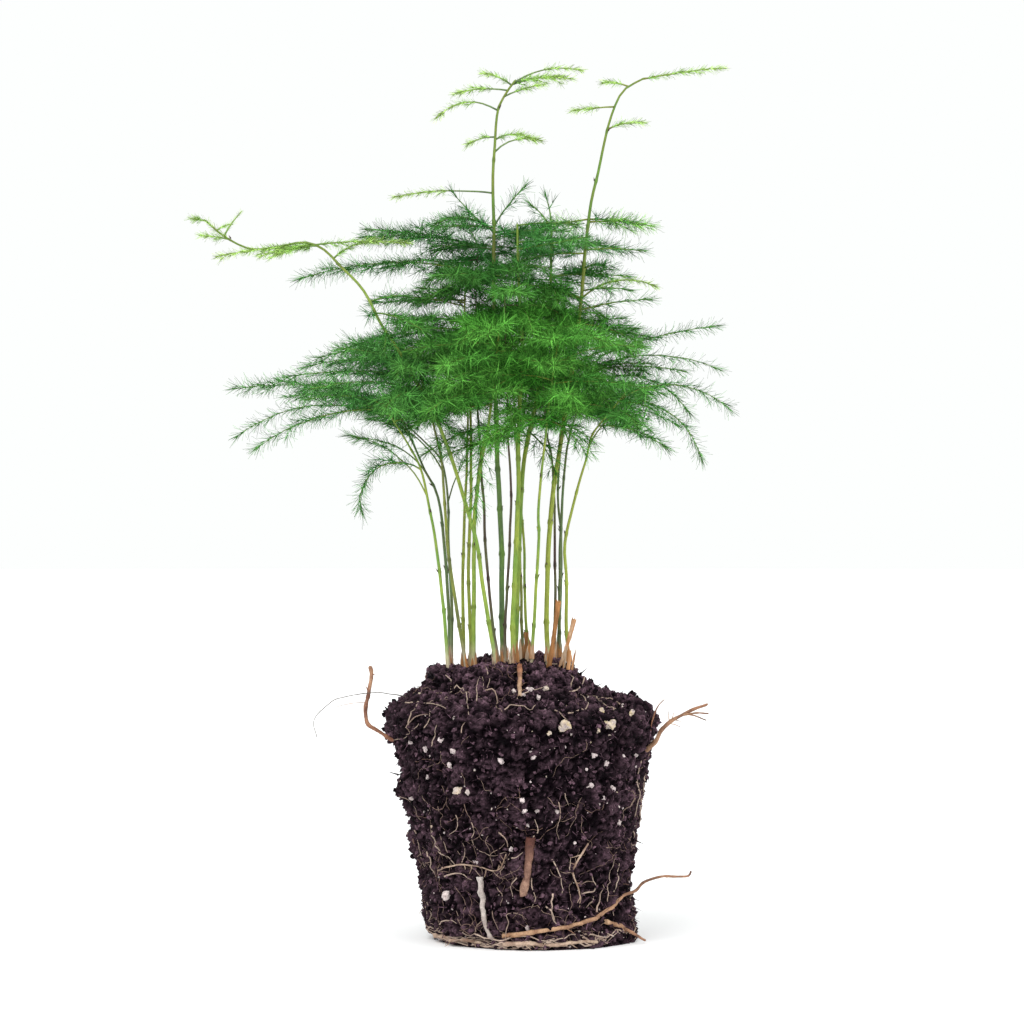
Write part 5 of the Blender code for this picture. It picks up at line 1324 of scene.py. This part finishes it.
class FERN_OT_roots(bpy.types.Operator):
    """Build the roots that stand out, one piece for each"""

    bl_idname = "fern.roots"
    bl_label = "Roots"

    def add(self, heap, line, radii, sides, tip, skin, torn=None):
        """Adds a stretch of root. torn is the draw that makes its ends ragged, if they are."""
        bm = bmesh.new()
        painter = coat(bm, "thread", "thread_other")
        tube(bm, line, radii, sides, tip=tip, paint=painter(SKINS[skin][:2], SKINS[skin][2:], len(line)))
        if torn:
            for end, way in ((line[0], line[0] - line[1]), (line[-1], line[-1] - line[-2])):
                for vert in bm.verts:
                    off = vert.co - end
                    at_end = off.length < 0.7 * way.length + 0.2 or abs(off.dot(way)) < 0.02
                    if at_end and off.length < 1.5 * max(radii):
                        vert.co += way.normalized() * torn.uniform(-0.2, 1.5)
        heap.add(bm)

    def execute(self, context):
        soil = SoilSkin()
        roots = {**ROOTS, **rim_root_routes(), **back_root_routes()}
        for i, (name, root) in enumerate(roots.items()):
            draw = random.Random(SEEDS["roots"] + i)
            path = root_path(root)
            heap = Heap()
            line, radii = rooty_line(path, root["radius"], root["taper"], draw)
            if root["laid"]:
                line = bridge(soil, line, root["radius"] * 0.25)
            torn = draw if root.get("torn") else None
            self.add(heap, line, radii, 10, 0.0 if torn else root["radius"] * 0.5, root["skin"], torn)
            for x, end, thick in root.get("prongs", ()):
                end = Vector(end)
                outer = line[len(line) // 3:]
                start = min(outer, key=lambda point: abs(point.x - x) + 0.05 * (point - end).length)
                prong = Path([start, start.lerp(end, 0.5) + Vector((0, 0, 0.4)), end])
                part, thin = rooty_line(prong, thick, 0.4, draw, 0.2)
                self.add(heap, part, thin, 7, thick, root["skin"])
            if "hair" in root:
                self.add(heap, *rooty_line(Path(root["hair"]), 0.4, 0.5, draw, 0.3), 6, 0.6, "bark")
            for _ in range(root["rootlets"]):
                k = draw.randrange(len(line) // 5, len(line) - 1)
                start, along = line[k], (line[k + 1] - line[k - 1]).normalized()
                way = (any_side(along) * draw.choice((-1, 1)) + along * draw.uniform(0.2, 1.2)).normalized()
                length = draw.uniform(1.5, 5)
                points = []
                for t in (0, 0.35, 0.7, 1):
                    curl = noise.noise_vector(start / 3 + Vector((t, 0, k)))
                    points.append(start + way * length * t + curl * 0.8 * t)
                raise_to(points, 0.3)
                self.add(heap, points, [0.22, 0.18, 0.14, 0.1], 4, 0.3, root["skin"])
            finish(heap.done(), f"{name}_root", [f"root_{name}"], [thread_material()], smooth=60)
        return {"FINISHED"}


class FERN_OT_fine_roots(bpy.types.Operator):
    """Lay thread-like roots over the soil: the front's by place, the rest by rule"""

    bl_idname = "fern.fine_roots"
    bl_label = "Fine roots"

    RIM_THREADS = 34
    PACE = 2.1  # how far a rule-laid root goes before it turns

    def lay(self, soil, heap, points, radius, draw, light):
        """A thread through points of the soil, each a (place, normal) pair or None."""
        points = [found[0] for found in points if found]
        if len(points) < 2:
            return
        shift = Vector((0, draw.uniform(0, 90), 0))
        path = Path(points)
        stations = even(path.length, 1.15)
        line = [path.at(s) + noise.noise_vector(path.at(s) / 2.6 + shift) * 0.45 for s in stations]
        raise_to(line, radius + 0.2)
        line = bridge(soil, line, radius * draw.uniform(0.0, 0.7))
        radii = []
        for s, point in zip(stations, line):
            radii.append(radius * (1 - 0.45 * s / path.length) * (1 + 0.25 * noise.noise(point / 1.7)))
        bm = bmesh.new()
        painter = coat(bm, "thread", "thread_other")
        main = mixed(colours().root_dull, colours().root_pale, light)
        dark = darker(main, 0.6)
        tube(bm, line, radii, 4, tip=radius * 2, paint=painter((main, dark), (dark, dark), len(line)))
        heap.add(bm)

    def wander(self, soil, draw):
        """A rule-laid root: it goes down the side, or round it near the foot."""
        height = 60 * draw.random() ** 1.4 + 1.5 if draw.random() < 0.85 else draw.uniform(40, 84)
        angle = drawn_angle(draw)
        degrees = draw.gauss(-90, 50) if height > 9 else draw.choice((0, 180)) + draw.gauss(0, 14)
        heading = math.radians(degrees)
        points = []
        for _ in range(draw.randint(3, 12)):
            points.append(soil.beside(angle, height))
            heading += draw.gauss(0, 0.45)
            height += self.PACE * math.sin(heading)
            angle += self.PACE * math.cos(heading) / 44
            if not 0.8 < height < 90:
                break
        return points

    def along_rim(self, soil, draw):
        """A root of the mat that circles the foot of the ball."""
        angle, span, height = drawn_angle(draw), draw.uniform(0.3, 1.1), draw.uniform(0.8, 5.0)
        points = []
        for k in range(9):
            wave = 1.1 * math.sin(1.7 * k + 5 * angle)
            points.append(soil.beside(angle + span * k / 8, max(0.8, height + wave)))
        return points

    def over_mound(self, soil, draw):
        """A rule-laid root over the mound, outwards from the stems."""
        angle, away = drawn_angle(draw), draw.uniform(12, 40)
        heading = angle + draw.gauss(0, 1.1)
        x, y = MOUND_MIDDLE + away * math.cos(angle), away * math.sin(angle)
        points = []
        for _ in range(draw.randint(4, 9)):
            points.append(soil.above(x, y))
            heading += draw.gauss(0, 0.45)
            x += self.PACE * math.cos(heading)
            y += self.PACE * math.sin(heading)
            if math.hypot(x + 7, y) > 48:
                break
        return points

    def execute(self, context):
        draw = random.Random(SEEDS["fine_roots"])
        soil, heap = SoilSkin(), Heap()
        placed = ((MOUND_THREADS, 0.22, 0.4, 1.0), (NET_THREADS, 0.2, 0.5, 1.1))
        for rows, thinnest, dullest, palest in placed:
            for row in rows:
                seen = [soil.seen(x, z) for x, z in row]
                radius = draw.uniform(thinnest, 0.36)
                self.lay(soil, heap, seen, radius, draw, draw.uniform(dullest, palest))
        for _ in range(self.RIM_THREADS):
            points = self.along_rim(soil, draw)
            radius = draw.uniform(0.2, 0.5)
            self.lay(soil, heap, points, radius, draw, draw.uniform(0.5, 1.1))
        for _ in range(sizes().threads):
            found = self.wander(soil, draw) if draw.random() < 0.85 else self.over_mound(soil, draw)
            front = bool(found and found[0] and found[0][0].y < -12)
            radius = draw.uniform(0.1, 0.17) if front else draw.uniform(0.12, 0.34)
            self.lay(soil, heap, found, radius, draw, draw.uniform(0, 0.5) if front else draw.uniform(0, 0.9))
        finish(heap.done(), "fine_roots", [], [thread_material()], smooth=0)
        return {"FINISHED"}


# Stubs and husks

class FERN_OT_stubs(bpy.types.Operator):
    """Build the dead stubs, each split and hollow at its broken top"""

    bl_idname = "fern.stubs"
    bl_label = "Dead stubs"

    def execute(self, context):
        c = colours()
        for name, (foot, top, radius) in STUBS.items():
            draw = random.Random(SEEDS["stubs"] + int(name))
            foot, top = Vector(foot), Vector(top)
            down = (foot - top).normalized()
            path = Path([foot + down * SEAT_DEPTH * 0.8, foot.lerp(top, 0.5) + Vector((0.25, 0.1, 0)), top])
            line = [path.at(s) for s in even(path.length, 1.1)]
            radii = []
            for i, point in enumerate(line):
                waist = math.sin(math.pi * i / (len(line) - 1))
                radii.append(radius * (1.05 - 0.25 * waist + 0.16 * noise.noise(point / 1.5)))
            bm = bmesh.new()
            painter = coat(bm, "husk", "husk_other")
            if name == BLEACHED_STUB:
                first, last = (c.husk_pale, c.husk), (mixed(c.husk, c.husk_pale, 0.5), c.husk)
            else:
                first = last = (c.husk, darker(c.husk, 0.45))
            end = tube(bm, line, radii, 14, paint=painter(first, last, len(line)))
            for vert in bm.verts:
                rib = noise.noise(Vector((vert.co.x * 2.2, vert.co.y * 2.2, vert.co.z * 0.25)))
                axis = min(line, key=lambda point: (point - vert.co).length_squared)
                vert.co += (vert.co - axis) * 0.22 * rib
            rim = list(end.verts)
            bmesh.ops.inset_individual(bm, faces=[end], thickness=radius * 0.3, use_even_offset=True)
            pit = bmesh.ops.extrude_discrete_faces(bm, faces=[end])["faces"][0]
            bmesh.ops.translate(bm, verts=pit.verts, vec=down * 1.5)
            for vert in rim:
                vert.co -= down * draw.uniform(-0.6, 1.2)
            bmesh.ops.recalc_face_normals(bm, faces=bm.faces)
            finish(bm, f"stub_{name}_dry", [f"dead_stub_{name}"], [husk_material()], smooth=40)
        return {"FINISHED"}


class FERN_OT_husks(bpy.types.Operator):
    """Wrap the foot of each stem in dry scale leaves"""

    bl_idname = "fern.husks"
    bl_label = "Husks"

    def execute(self, context):
        draw = random.Random(SEEDS["husks"])
        c = colours()
        soil, heap = SoilSkin(), Heap()
        feet = [(*row["route"][:2], row["radius"]) for row in STEMS.values()]
        for foot, up, radius in (*feet, *EXTRA_HUSKS):
            foot = Vector(foot)
            along = (Vector(up) - foot).normalized()
            found = soil.above(foot.x, foot.y)
            base = found[0] if found else foot
            base = foot + along * max(0.0, (base - foot).dot(along))
            for k in range(draw.choice((5, 6, 7))):
                out = round_about(draw, along)
                length = draw.uniform(3.5, 8.0) * (1.4 if radius > 1 else 1)
                start = base + out * radius * STEM_SWELL * 0.9 - along * 2.0
                way = (along + out * draw.uniform(-0.04, 0.14)).normalized()
                line = [start, start + way * length * 0.45, start + way * length * 0.8]
                wide = draw.uniform(0.8, 1.5)
                bm = bmesh.new()
                painter = coat(bm, "husk", "husk_other")
                main = mixed(c.husk, c.husk_pale, draw.random() ** 1.8)
                skin = (main, darker(main, 0.6))
                paint = painter(skin, skin, len(line))
                tube(bm, line, [wide * 0.8, wide * 0.7, wide * 0.4], 7, tip=length * 0.3, paint=paint)
                flatten = Matrix.Translation(start) @ Matrix.Scale(0.4, 4, out) @ Matrix.Translation(-start)
                bmesh.ops.transform(bm, matrix=flatten, verts=bm.verts)
                heap.add(bm)
        finish(heap.done(), "foot_husks", [], [husk_material()], smooth=50)
        return {"FINISHED"}


# Leafy stems

class Foliage:
    """The whorls that every stem's needles come from, each modelled round a twig that runs up +Z. A needle is
    a cone with one foot corner moved to its tip, so that it stays visible to its blunt end."""

    PATTERNS = 12  # of each kind

    KINDS = {  # (most, least) angle off the twig, share of the needle length, share of the needles
        "side": ((80, 38), 1.0, 1.0), "tip": ((50, 5), 0.9, 1.1), "young": ((70, 22), 0.55, 1.3),
        "young_tip": ((50, 8), 0.5, 1.3),
    }

    def __init__(self, draw):
        self.whorls = {}
        for kind, (leans, length, share) in self.KINDS.items():
            patterns = range(self.PATTERNS)
            self.whorls[kind] = [self.whorl(draw, leans, length, share, f"{kind}_{i}") for i in patterns]

    def whorl(self, draw, leans, length, share, name):
        bm = bmesh.new()
        layer = colour_layer(bm, "growth")
        width = sizes().needle_width / MM
        count = max(3, round(sizes().needles * share * draw.uniform(0.85, 1.15)))
        first = draw.uniform(0, 2 * math.pi)
        for i in range(count):
            turn = first + 2 * math.pi * (i + draw.uniform(-0.35, 0.35)) / count
            lean = math.radians(draw.uniform(leans[1], leans[0]))
            along = outwards(turn) * math.sin(lean) + Vector((0, 0, math.cos(lean)))
            reach = sizes().needle_length / MM * length * draw.uniform(0.66, 1.12)
            start = Vector((0, 0, draw.uniform(-0.4, 0.4)))
            made = bmesh.ops.create_cone(
                bm, cap_ends=True, segments=3, radius1=width / 2, radius2=0, depth=reach,
                matrix=turned(start + along * reach / 2, along),
            )
            corner, tip = made["verts"][0], made["verts"][-1]
            corner.co = tip.co + (corner.co - start).normalized() * 0.35 * width
            # Most needles get a random tone; about one in twelve is painted much brighter, as a painted
            # glint.
            value = draw.uniform(0.6, 1) if draw.random() < 0.08 else 0.6 * draw.random() ** 1.6
            for vert in made["verts"]:
                vert[layer] = (0, 0, value, 1)
        return pattern(bm, name)


def twig_length(share, width):
    """A twig's length at a share of the way along its spray: longest a third of the way out."""
    return width * min(1.0, 0.5 + 1.7 * share) * (1.05 - share) ** 0.5


def within_outline(point):
    """Whether a point lies in the leafy mass, as seen and in depth."""
    seen = VIEWER + (point - VIEWER) * (VIEWER.y / (VIEWER.y - point.y))
    heights = [row[0] for row in LEAFY_OUTLINE]
    if not heights[0] < seen.z < heights[-1] or not LEAFY_DEPTH[0] < point.y < LEAFY_DEPTH[1]:
        return False
    left = between([row[:2] for row in LEAFY_OUTLINE], seen.z)
    right = between([(row[0], row[2]) for row in LEAFY_OUTLINE], seen.z)
    return left < seen.x < right


class StemBuilder:
    """Grows one leafy stem. cool, airy and short are the present spray's: how bluish its needles are, how far
    apart its whorls stand and how long their needles are. loose turns its twigs out of the flat."""

    TWIG_ANGLE = math.radians(50)
    SPRIG_ANGLE = 0.85
    KINDS = {False: ("side", "tip"), True: ("young", "young_tip")}

    def __init__(self, name, row, foliage):
        self.draw = random.Random(SEEDS["stems"] + int(name))
        self.row, self.foliage, self.radius = row, foliage, row["radius"]
        points = [Vector(point) for point in row["route"]]
        self.foot = points[0] + (points[0] - points[1]).normalized() * SEAT_DEPTH
        self.path = Path([self.foot, *points])
        self.heap, self.cool, self.airy, self.short, self.loose = Heap(), 0.0, 1.0, 1.0, False
        c = colours()
        self.barks = {
            "light": (c.stem_light, c.stem_green), "olive": (c.stem_olive, c.stem_light),
            "olive_dark": (c.stem_dark, c.stem_olive), "dark": (c.stem_dark, c.stem_blue),
            "green": (c.stem_green, c.stem_light), "blue": (c.stem_blue, c.stem_green),
            "brown": (c.stem_brown, c.stem_dark),
        }

    def fresh(self):
        bm = bmesh.new()
        names = ("growth", "stalk", "stalk_other")
        self.growth, self.stalk, self.other = (colour_layer(bm, name) for name in names)
        return bm

    def keep(self, bm, stalk):
        """Adds a mesh to the stem, as stalk or as foliage."""
        for face in bm.faces:
            face.material_index = 0 if stalk else 1
            face.smooth = stalk
        self.heap.add(bm)

    def keep_twig(self, bm, value):
        """Adds a twig's own wood, which has the colour of its needles."""
        for vert in bm.verts:
            vert[self.growth] = (min(1.0, value[0] + 0.15), value[1], 0.5, self.cool)
        self.keep(bm, False)

    def whorl(self, bm, kind, point, along, value, scale=1.0):
        """Stamps a whorl of needles. value says how brightly they are painted, from the spray's painted light
        and shade and their own tone, and how young.
        """
        mesh = self.draw.choice(self.foliage.whorls[kind])
        turn = drawn_turn(self.draw)
        place = turned(point, along, turn, self.short * scale * self.draw.uniform(0.85, 1.1))
        growth = colour_layer(bm, "growth")
        for vert in stamp(bm, mesh, place):
            vert[growth] = (value[0], value[1], vert[growth][2], self.cool)

    def stalk_colour(self, z):
        """The stem's two colours at a height: straw at the soil, then its own."""
        main, other = self.barks[self.row["bark"]]
        low = clamp(1 - (z - 108) / 11)
        main, other = (mixed(own, colours().husk_pale, low) for own in (main, other))
        if "young_above" in self.row:
            high = clamp((z - 225) / 60)
            main = mixed(main, darker(colours().stem_olive, 0.75), high)
            other = mixed(other, darker(colours().stem_green, 0.8), high)
        return (*main, 1), (*other, 1)

    def grow_stalk(self):
        """The stem itself, with a swelling and a scale at each node."""
        draw, path = self.draw, self.path
        nodes, s = [], path.at_height(120) + draw.uniform(0, 12)
        while s < path.length - 8:
            nodes.append(s)
            s += draw.uniform(15, 27)
        stations = set(even(path.length, 4.0))
        for s in nodes:
            stations = {t for t in stations if abs(t - s) > 1.6} | {s - 1.1, s - 0.3, s + 0.5, s + 1.5}
        stations = sorted(stations)
        bm = self.fresh()
        line, radii, paints = [], [], []
        for s in stations:
            point = path.at(s)
            line.append(point + noise.noise_vector(point / 14 + Vector((0, 0, self.radius * 50))) * 0.3)
            swell = 1 + 0.32 * max((math.exp(-(((s - t) / 0.8) ** 2)) for t in nodes), default=0)
            radii.append(self.radius * STEM_SWELL * (1.0 - STEM_TAPER * (s / path.length) ** 1.5) * swell)
        end = tube(bm, line, radii, 8, tip=1.0)
        for vert in bm.verts:
            vert[self.stalk], vert[self.other] = self.stalk_colour(vert.co.z)
            near = min((abs(path.at(s).z - vert.co.z) for s in nodes), default=9)
            if near < 0.9:
                vert[self.stalk] = (*darker(vert[self.stalk][:3], 0.55), 1)
        self.keep(bm, True)
        for s in nodes:
            along = path.along(s)
            out = round_about(draw, along)
            start = path.at(s) + out * self.radius * 0.95
            way = (along + out * 0.55).normalized()
            bm = self.fresh()
            tube(bm, [start, start + way * 0.7, start + way * 1.3], [0.34, 0.28, 0.12], 5, tip=0.5)
            shade = colours().stem_brown if draw.random() < 0.6 else self.barks[self.row["bark"]][0]
            for vert in bm.verts:
                vert[self.stalk] = vert[self.other] = (*shade, 1)
            self.keep(bm, True)

    def grow_twig(self, start, along, forward, up, length, value, young):
        """A twig with its side twigs, covered in whorls of needles."""
        draw = self.draw
        bm = self.fresh()
        sweep, sag = 0.18 * draw.uniform(0.5, 1.6), 0.10 * draw.uniform(0, 2.2)

        def at(s):
            share = s / length
            return start + along * s + (forward * sweep - up * sag) * length * share * share

        def ahead(s):
            return (at(s + 0.4) - at(s - 0.4)).normalized()

        thick = 0.2 if young else 0.17
        line = [at(length * t) for t in (0, 0.35, 0.7, 1)]
        tube(bm, line, [thick * t for t in (1.3, 1.0, 0.75, 0.5)], 4, tip=0.6)
        self.keep_twig(bm, value)
        bm = self.fresh()
        side_kind, tip_kind = self.KINDS[young]
        gap = sizes().whorl_gap / MM * self.airy
        s = gap * draw.uniform(0.5, 1.1)
        while s < length - 0.4:
            self.whorl(bm, side_kind, at(s), ahead(s), value, 0.8 + 0.2 * min(1, s / 4))
            s += gap * draw.uniform(0.85, 1.2)
        self.whorl(bm, tip_kind, at(length), ahead(length), value)
        self.keep(bm, False)
        if young or length < 5.5:
            return
        hand, s = draw.choice((-1, 1)), length * 0.24
        square = up.cross(along).normalized()
        while s < length * 0.88:
            reach = min(6.5, (length - s) * draw.uniform(0.45, 0.7))
            if reach > 1.3:
                out = square * hand + up * draw.uniform(-0.5, 0.5)
                way = ahead(s) * math.cos(self.SPRIG_ANGLE) + out * math.sin(self.SPRIG_ANGLE)
                self.grow_sprig(at(s), way.normalized(), reach, value)
            hand, s = -hand, s + draw.uniform(2.4, 3.4)

    def grow_sprig(self, start, along, length, value):
        """The smallest side twig: straight, with a few whorls."""
        bm = self.fresh()
        bmesh.ops.create_cone(
            bm, cap_ends=True, segments=3, radius1=0.15, radius2=0.06, depth=length,
            matrix=turned(start + along * length / 2, along),
        )
        self.keep_twig(bm, value)
        bm = self.fresh()
        count = max(1, round(length / (sizes().whorl_gap / MM * 1.15 * self.airy)))
        for i in range(count):
            self.whorl(bm, "side", start + along * length * (i + 0.7) / (count + 0.5), along, value, 0.92)
        self.whorl(bm, "tip", start + along * length, along, value, 0.95)
        self.keep(bm, False)

    def painted_lighting(self, axis):
        """How brightly a spray's needles are painted, as painted light and shade: most in front of the
        plant's middle, least at its top and behind, a little more at the far left and less at the right.
        """
        middle = axis.at(0.6 * axis.length)
        band = max(0.0, 1 - abs(middle.z - 228) / 28)
        front = clamp(-middle.y / 35, -1.0)
        lit = 0.10 + 0.36 * band * (0.7 + 0.3 * front) + 0.06 * front
        if middle.x < -55:
            lit += 0.12
        if middle.x > 35:
            lit -= 0.1
        return 0.65 * lit + 0.35 * self.row["lit_tint"] + self.draw.uniform(-0.06, 0.07)

    def grow_spray(self, spray):
        """A spray: its axis, its twigs to both sides and its own needles. A steep one is bare at its root."""
        height, azimuth, length, rise, fall, width, *rest = spray
        bare = rest[0] if rest else 0.45 if rise > 55 else 0.0
        draw, row = self.draw, self.row
        root = self.path.at(self.path.length if height is None else self.path.at_height(height))
        axis = Arc(root, azimuth, length, rise, fall)
        young_above = row.get("young_above")
        fresh = 1.0 if young_above and root.z > young_above else row.get("fresh", {}).get(height, 0.0)
        young = fresh == 1.0
        self.airy = 0.8 if young else 1.5 if width < 6 else 1.0
        self.short = 0.6 if width < 2.5 else 1.0
        middle = axis.at(0.7 * length)
        edge = max((abs(middle.x + 5) - 18) / 45, (middle.z - 245) / 30)
        self.cool = 0.0 if fresh else 0.75 * clamp(edge)
        # New shoots are painted fully bright; other sprays take their painted light and shade.
        lit_tint = 0.9 if fresh else self.painted_lighting(axis)
        bm = self.fresh()
        stations = even(length + 2, 3.5)
        thick = min(0.4, 0.7 * self.radius)
        line = [axis.at(s) + noise.noise_vector(axis.at(s) / 9) * 0.35 * min(1, s / 5) for s in stations]
        radii = [thick * (1 - 0.6 * s / (length + 2)) for s in stations]
        tube(bm, line, radii, 6, tip=1.0)
        main = self.barks[row["bark"]][0]
        towards = colours().needle_young if young else colours().stem_green
        for vert in bm.verts:
            colour = mixed(main, towards, min(1.0, (vert.co - root).length / length * 1.4))
            vert[self.stalk], vert[self.other] = (*colour, 1), (*darker(colour, 0.7), 1)
        self.keep(bm, True)

        count = max(2, round(length / (sizes().twig_gap / MM)))
        first = draw.choice((0, 1))
        whorls = self.fresh()
        side_kind, tip_kind = self.KINDS[young]
        for i in range(count):
            s = length * (i + 0.55 + draw.uniform(-0.15, 0.15)) / (count + 0.3)
            share = s / length
            if share < bare:
                continue
            along = axis.along(s)
            up = along.cross(axis.side)
            youth = min(1.0, 0.5 + 0.5 * share) if young else max(fresh, 0.1 * share)
            # The twig's needles take the spray's painted light and shade, a little random tone, and are
            # painted a little brighter towards the spray's tip.
            value = (clamp(lit_tint + draw.uniform(-0.12, 0.12) + 0.16 * share), youth)
            reach = twig_length(share, width) * draw.uniform(0.8, 1.2)
            hand = 1 if (i + first) % 2 else -1
            tilt = math.radians(draw.gauss(0, 22 if self.loose else 11))
            out = axis.side * hand * math.cos(tilt) + up * math.sin(tilt)
            angle = self.TWIG_ANGLE + math.radians(draw.gauss(0, 7))
            direction = (along * math.cos(angle) + out * math.sin(angle)).normalized()
            if reach > 1.2:
                self.grow_twig(axis.at(s), direction, along, up, reach, value, young)
            if share > 0.1 or young:
                steps = 3 if young else 1 if width < 6 else 2
                for k in range(steps):
                    point = axis.at(s + k * length / count / steps)
                    self.whorl(whorls, side_kind, point, along, value, 0.95)
        for s in (length - 1.2, length + 0.4, length + 1.6):
            self.whorl(whorls, tip_kind, axis.at(s), axis.along(s), value)
        self.keep(whorls, False)

    def fill(self):
        """The smaller sprays between the others, turned by the golden angle from one to the next."""
        low, high, count, reach = self.row["fill"]
        draw, self.loose = self.draw, True
        for i in range(count):
            height = low + (high - low) * (i + draw.uniform(0.2, 0.8)) / count
            azimuth = GOLDEN_ANGLE * i + 61 * self.radius * 100 + draw.uniform(-15, 15)
            length = reach * draw.uniform(0.8, 1.15)
            rise, fall = draw.uniform(-6, 34), draw.uniform(-34, 4)
            root = self.path.at(self.path.at_height(height))
            while length > SHORTEST_FILL:
                if within_outline(Arc(root, azimuth, length, rise, fall).at(length)):
                    break
                length *= 0.88
            if length > SHORTEST_FILL:
                self.grow_spray((height, azimuth, length, rise, fall, draw.uniform(9, 13)))

    def dress_tip(self, low):
        """Short needles on the stem itself, from a height to its tip."""
        bm, s = self.fresh(), self.path.at_height(low)
        while s < self.path.length:
            scale = self.draw.uniform(0.7, 1.0)
            self.whorl(bm, "young", self.path.at(s), self.path.along(s), (0.9, 0.9), scale)
            s += 0.9
        self.keep(bm, False)

    def grow(self):
        self.grow_stalk()
        if "needled" in self.row:
            self.dress_tip(self.row["needled"])
        for spray in self.row["sprays"]:
            self.grow_spray(spray)
        self.fill()
        return self.heap.done()


class FERN_OT_leafy_stems(bpy.types.Operator):
    """Grow the leafy stems, one piece for each"""

    bl_idname = "fern.leafy_stems"
    bl_label = "Leafy stems"

    def execute(self, context):
        foliage = Foliage(random.Random(SEEDS["whorls"]))
        materials = [stalk_material(), needle_material()]
        for name, row in STEMS.items():
            bm = StemBuilder(name, row, foliage).grow()
            finish(bm, f"fern_stem_{name}", [f"leafy_stem_{name}"], materials)
        return {"FINISHED"}


# Stage

class FERN_OT_stage(bpy.types.Operator):
    """Set up the pale floor, the soft lights and the camera"""

    bl_idname = "fern.stage"
    bl_label = "Stage"

    SUNS = (  # (name, where it stands, power, degrees that it spreads over)
        ("key", (-0.7, -1.0, 1.5), 1.5, 40), ("fill", (1.2, -1.0, 0.9), 1.1, 70),
    )
    SENSOR = 36

    def execute(self, context):
        scene = context.scene
        bm = bmesh.new()
        bmesh.ops.create_circle(bm, cap_ends=True, segments=96, radius=9.0)
        mesh = bpy.data.meshes.new("floor")
        bm.to_mesh(mesh)
        bm.free()
        floor = bpy.data.objects.new("floor", mesh)
        scene.collection.objects.link(floor)
        material, _, surface = new_material("pale_floor", roughness=0.7, shine=0.5)
        surface["Base Color"].default_value = (*colours().floor, 1)
        mesh.materials.append(material)

        world = bpy.data.worlds.new("studio")
        world.use_nodes = True
        background = world.node_tree.nodes["Background"]
        background.inputs["Color"].default_value = (0.985, 1.0, 0.992, 1)
        background.inputs["Strength"].default_value = 1.0
        scene.world = world
        scene.view_settings.view_transform = "Standard"

        for name, place, power, spread in self.SUNS:
            lamp = bpy.data.lights.new(name, "SUN")
            lamp.energy, lamp.angle = power, math.radians(spread)
            made = bpy.data.objects.new(name, lamp)
            made.location = place
            made.rotation_euler = Vector(place).to_track_quat("Z", "Y").to_euler()
            scene.collection.objects.link(made)

        camera = bpy.data.cameras.new("camera")
        camera.lens, camera.sensor_width = self.SENSOR * -VIEWER.y / PICTURE_WIDTH, self.SENSOR
        camera.clip_start, camera.clip_end = 0.05, 50
        made = bpy.data.objects.new("camera", camera)
        made.location = VIEWER * MM
        made.rotation_euler = (math.radians(90), 0, 0)
        scene.collection.objects.link(made)
        scene.camera = made
        return {"FINISHED"}


OPERATORS = (
    FERN_OT_stage, FERN_OT_soil, FERN_OT_crumbs, FERN_OT_perlite, FERN_OT_roots, FERN_OT_fine_roots,
    FERN_OT_stubs, FERN_OT_husks, FERN_OT_leafy_stems,
)


class FERN_PT_plant(bpy.types.Panel):
    """The plant's sizes, colours and pieces"""

    bl_idname = "FERN_PT_plant"
    bl_label = "Asparagus fern"
    bl_space_type = "VIEW_3D"
    bl_region_type = "UI"
    bl_category = "Fern"

    def draw(self, context):
        layout = self.layout
        for group in (context.scene.fern_sizes, context.scene.fern_colours):
            column = layout.column(align=True)
            for key in group.__annotations__:
                column.prop(group, key)
        column = layout.column(align=True)
        for operator in OPERATORS:
            column.operator(operator.bl_idname)


CLASSES = (FernSizes, FernColours, *OPERATORS, FERN_PT_plant)


def register():
    noise.seed_set(NOISE_SEED)
    for cls in CLASSES:
        bpy.utils.register_class(cls)
    bpy.types.Scene.fern_sizes = PointerProperty(type=FernSizes)
    bpy.types.Scene.fern_colours = PointerProperty(type=FernColours)


def unregister():
    del bpy.types.Scene.fern_colours
    del bpy.types.Scene.fern_sizes
    for cls in reversed(CLASSES):
        bpy.utils.unregister_class(cls)


def main():
    register()
    bpy.ops.fern.stage()
    bpy.ops.fern.soil()
    bpy.ops.fern.crumbs()
    bpy.ops.fern.perlite()
    bpy.ops.fern.roots()
    bpy.ops.fern.fine_roots()
    bpy.ops.fern.stubs()
    bpy.ops.fern.husks()
    bpy.ops.fern.leafy_stems()
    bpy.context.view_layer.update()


if __name__ == "__main__":
    main()
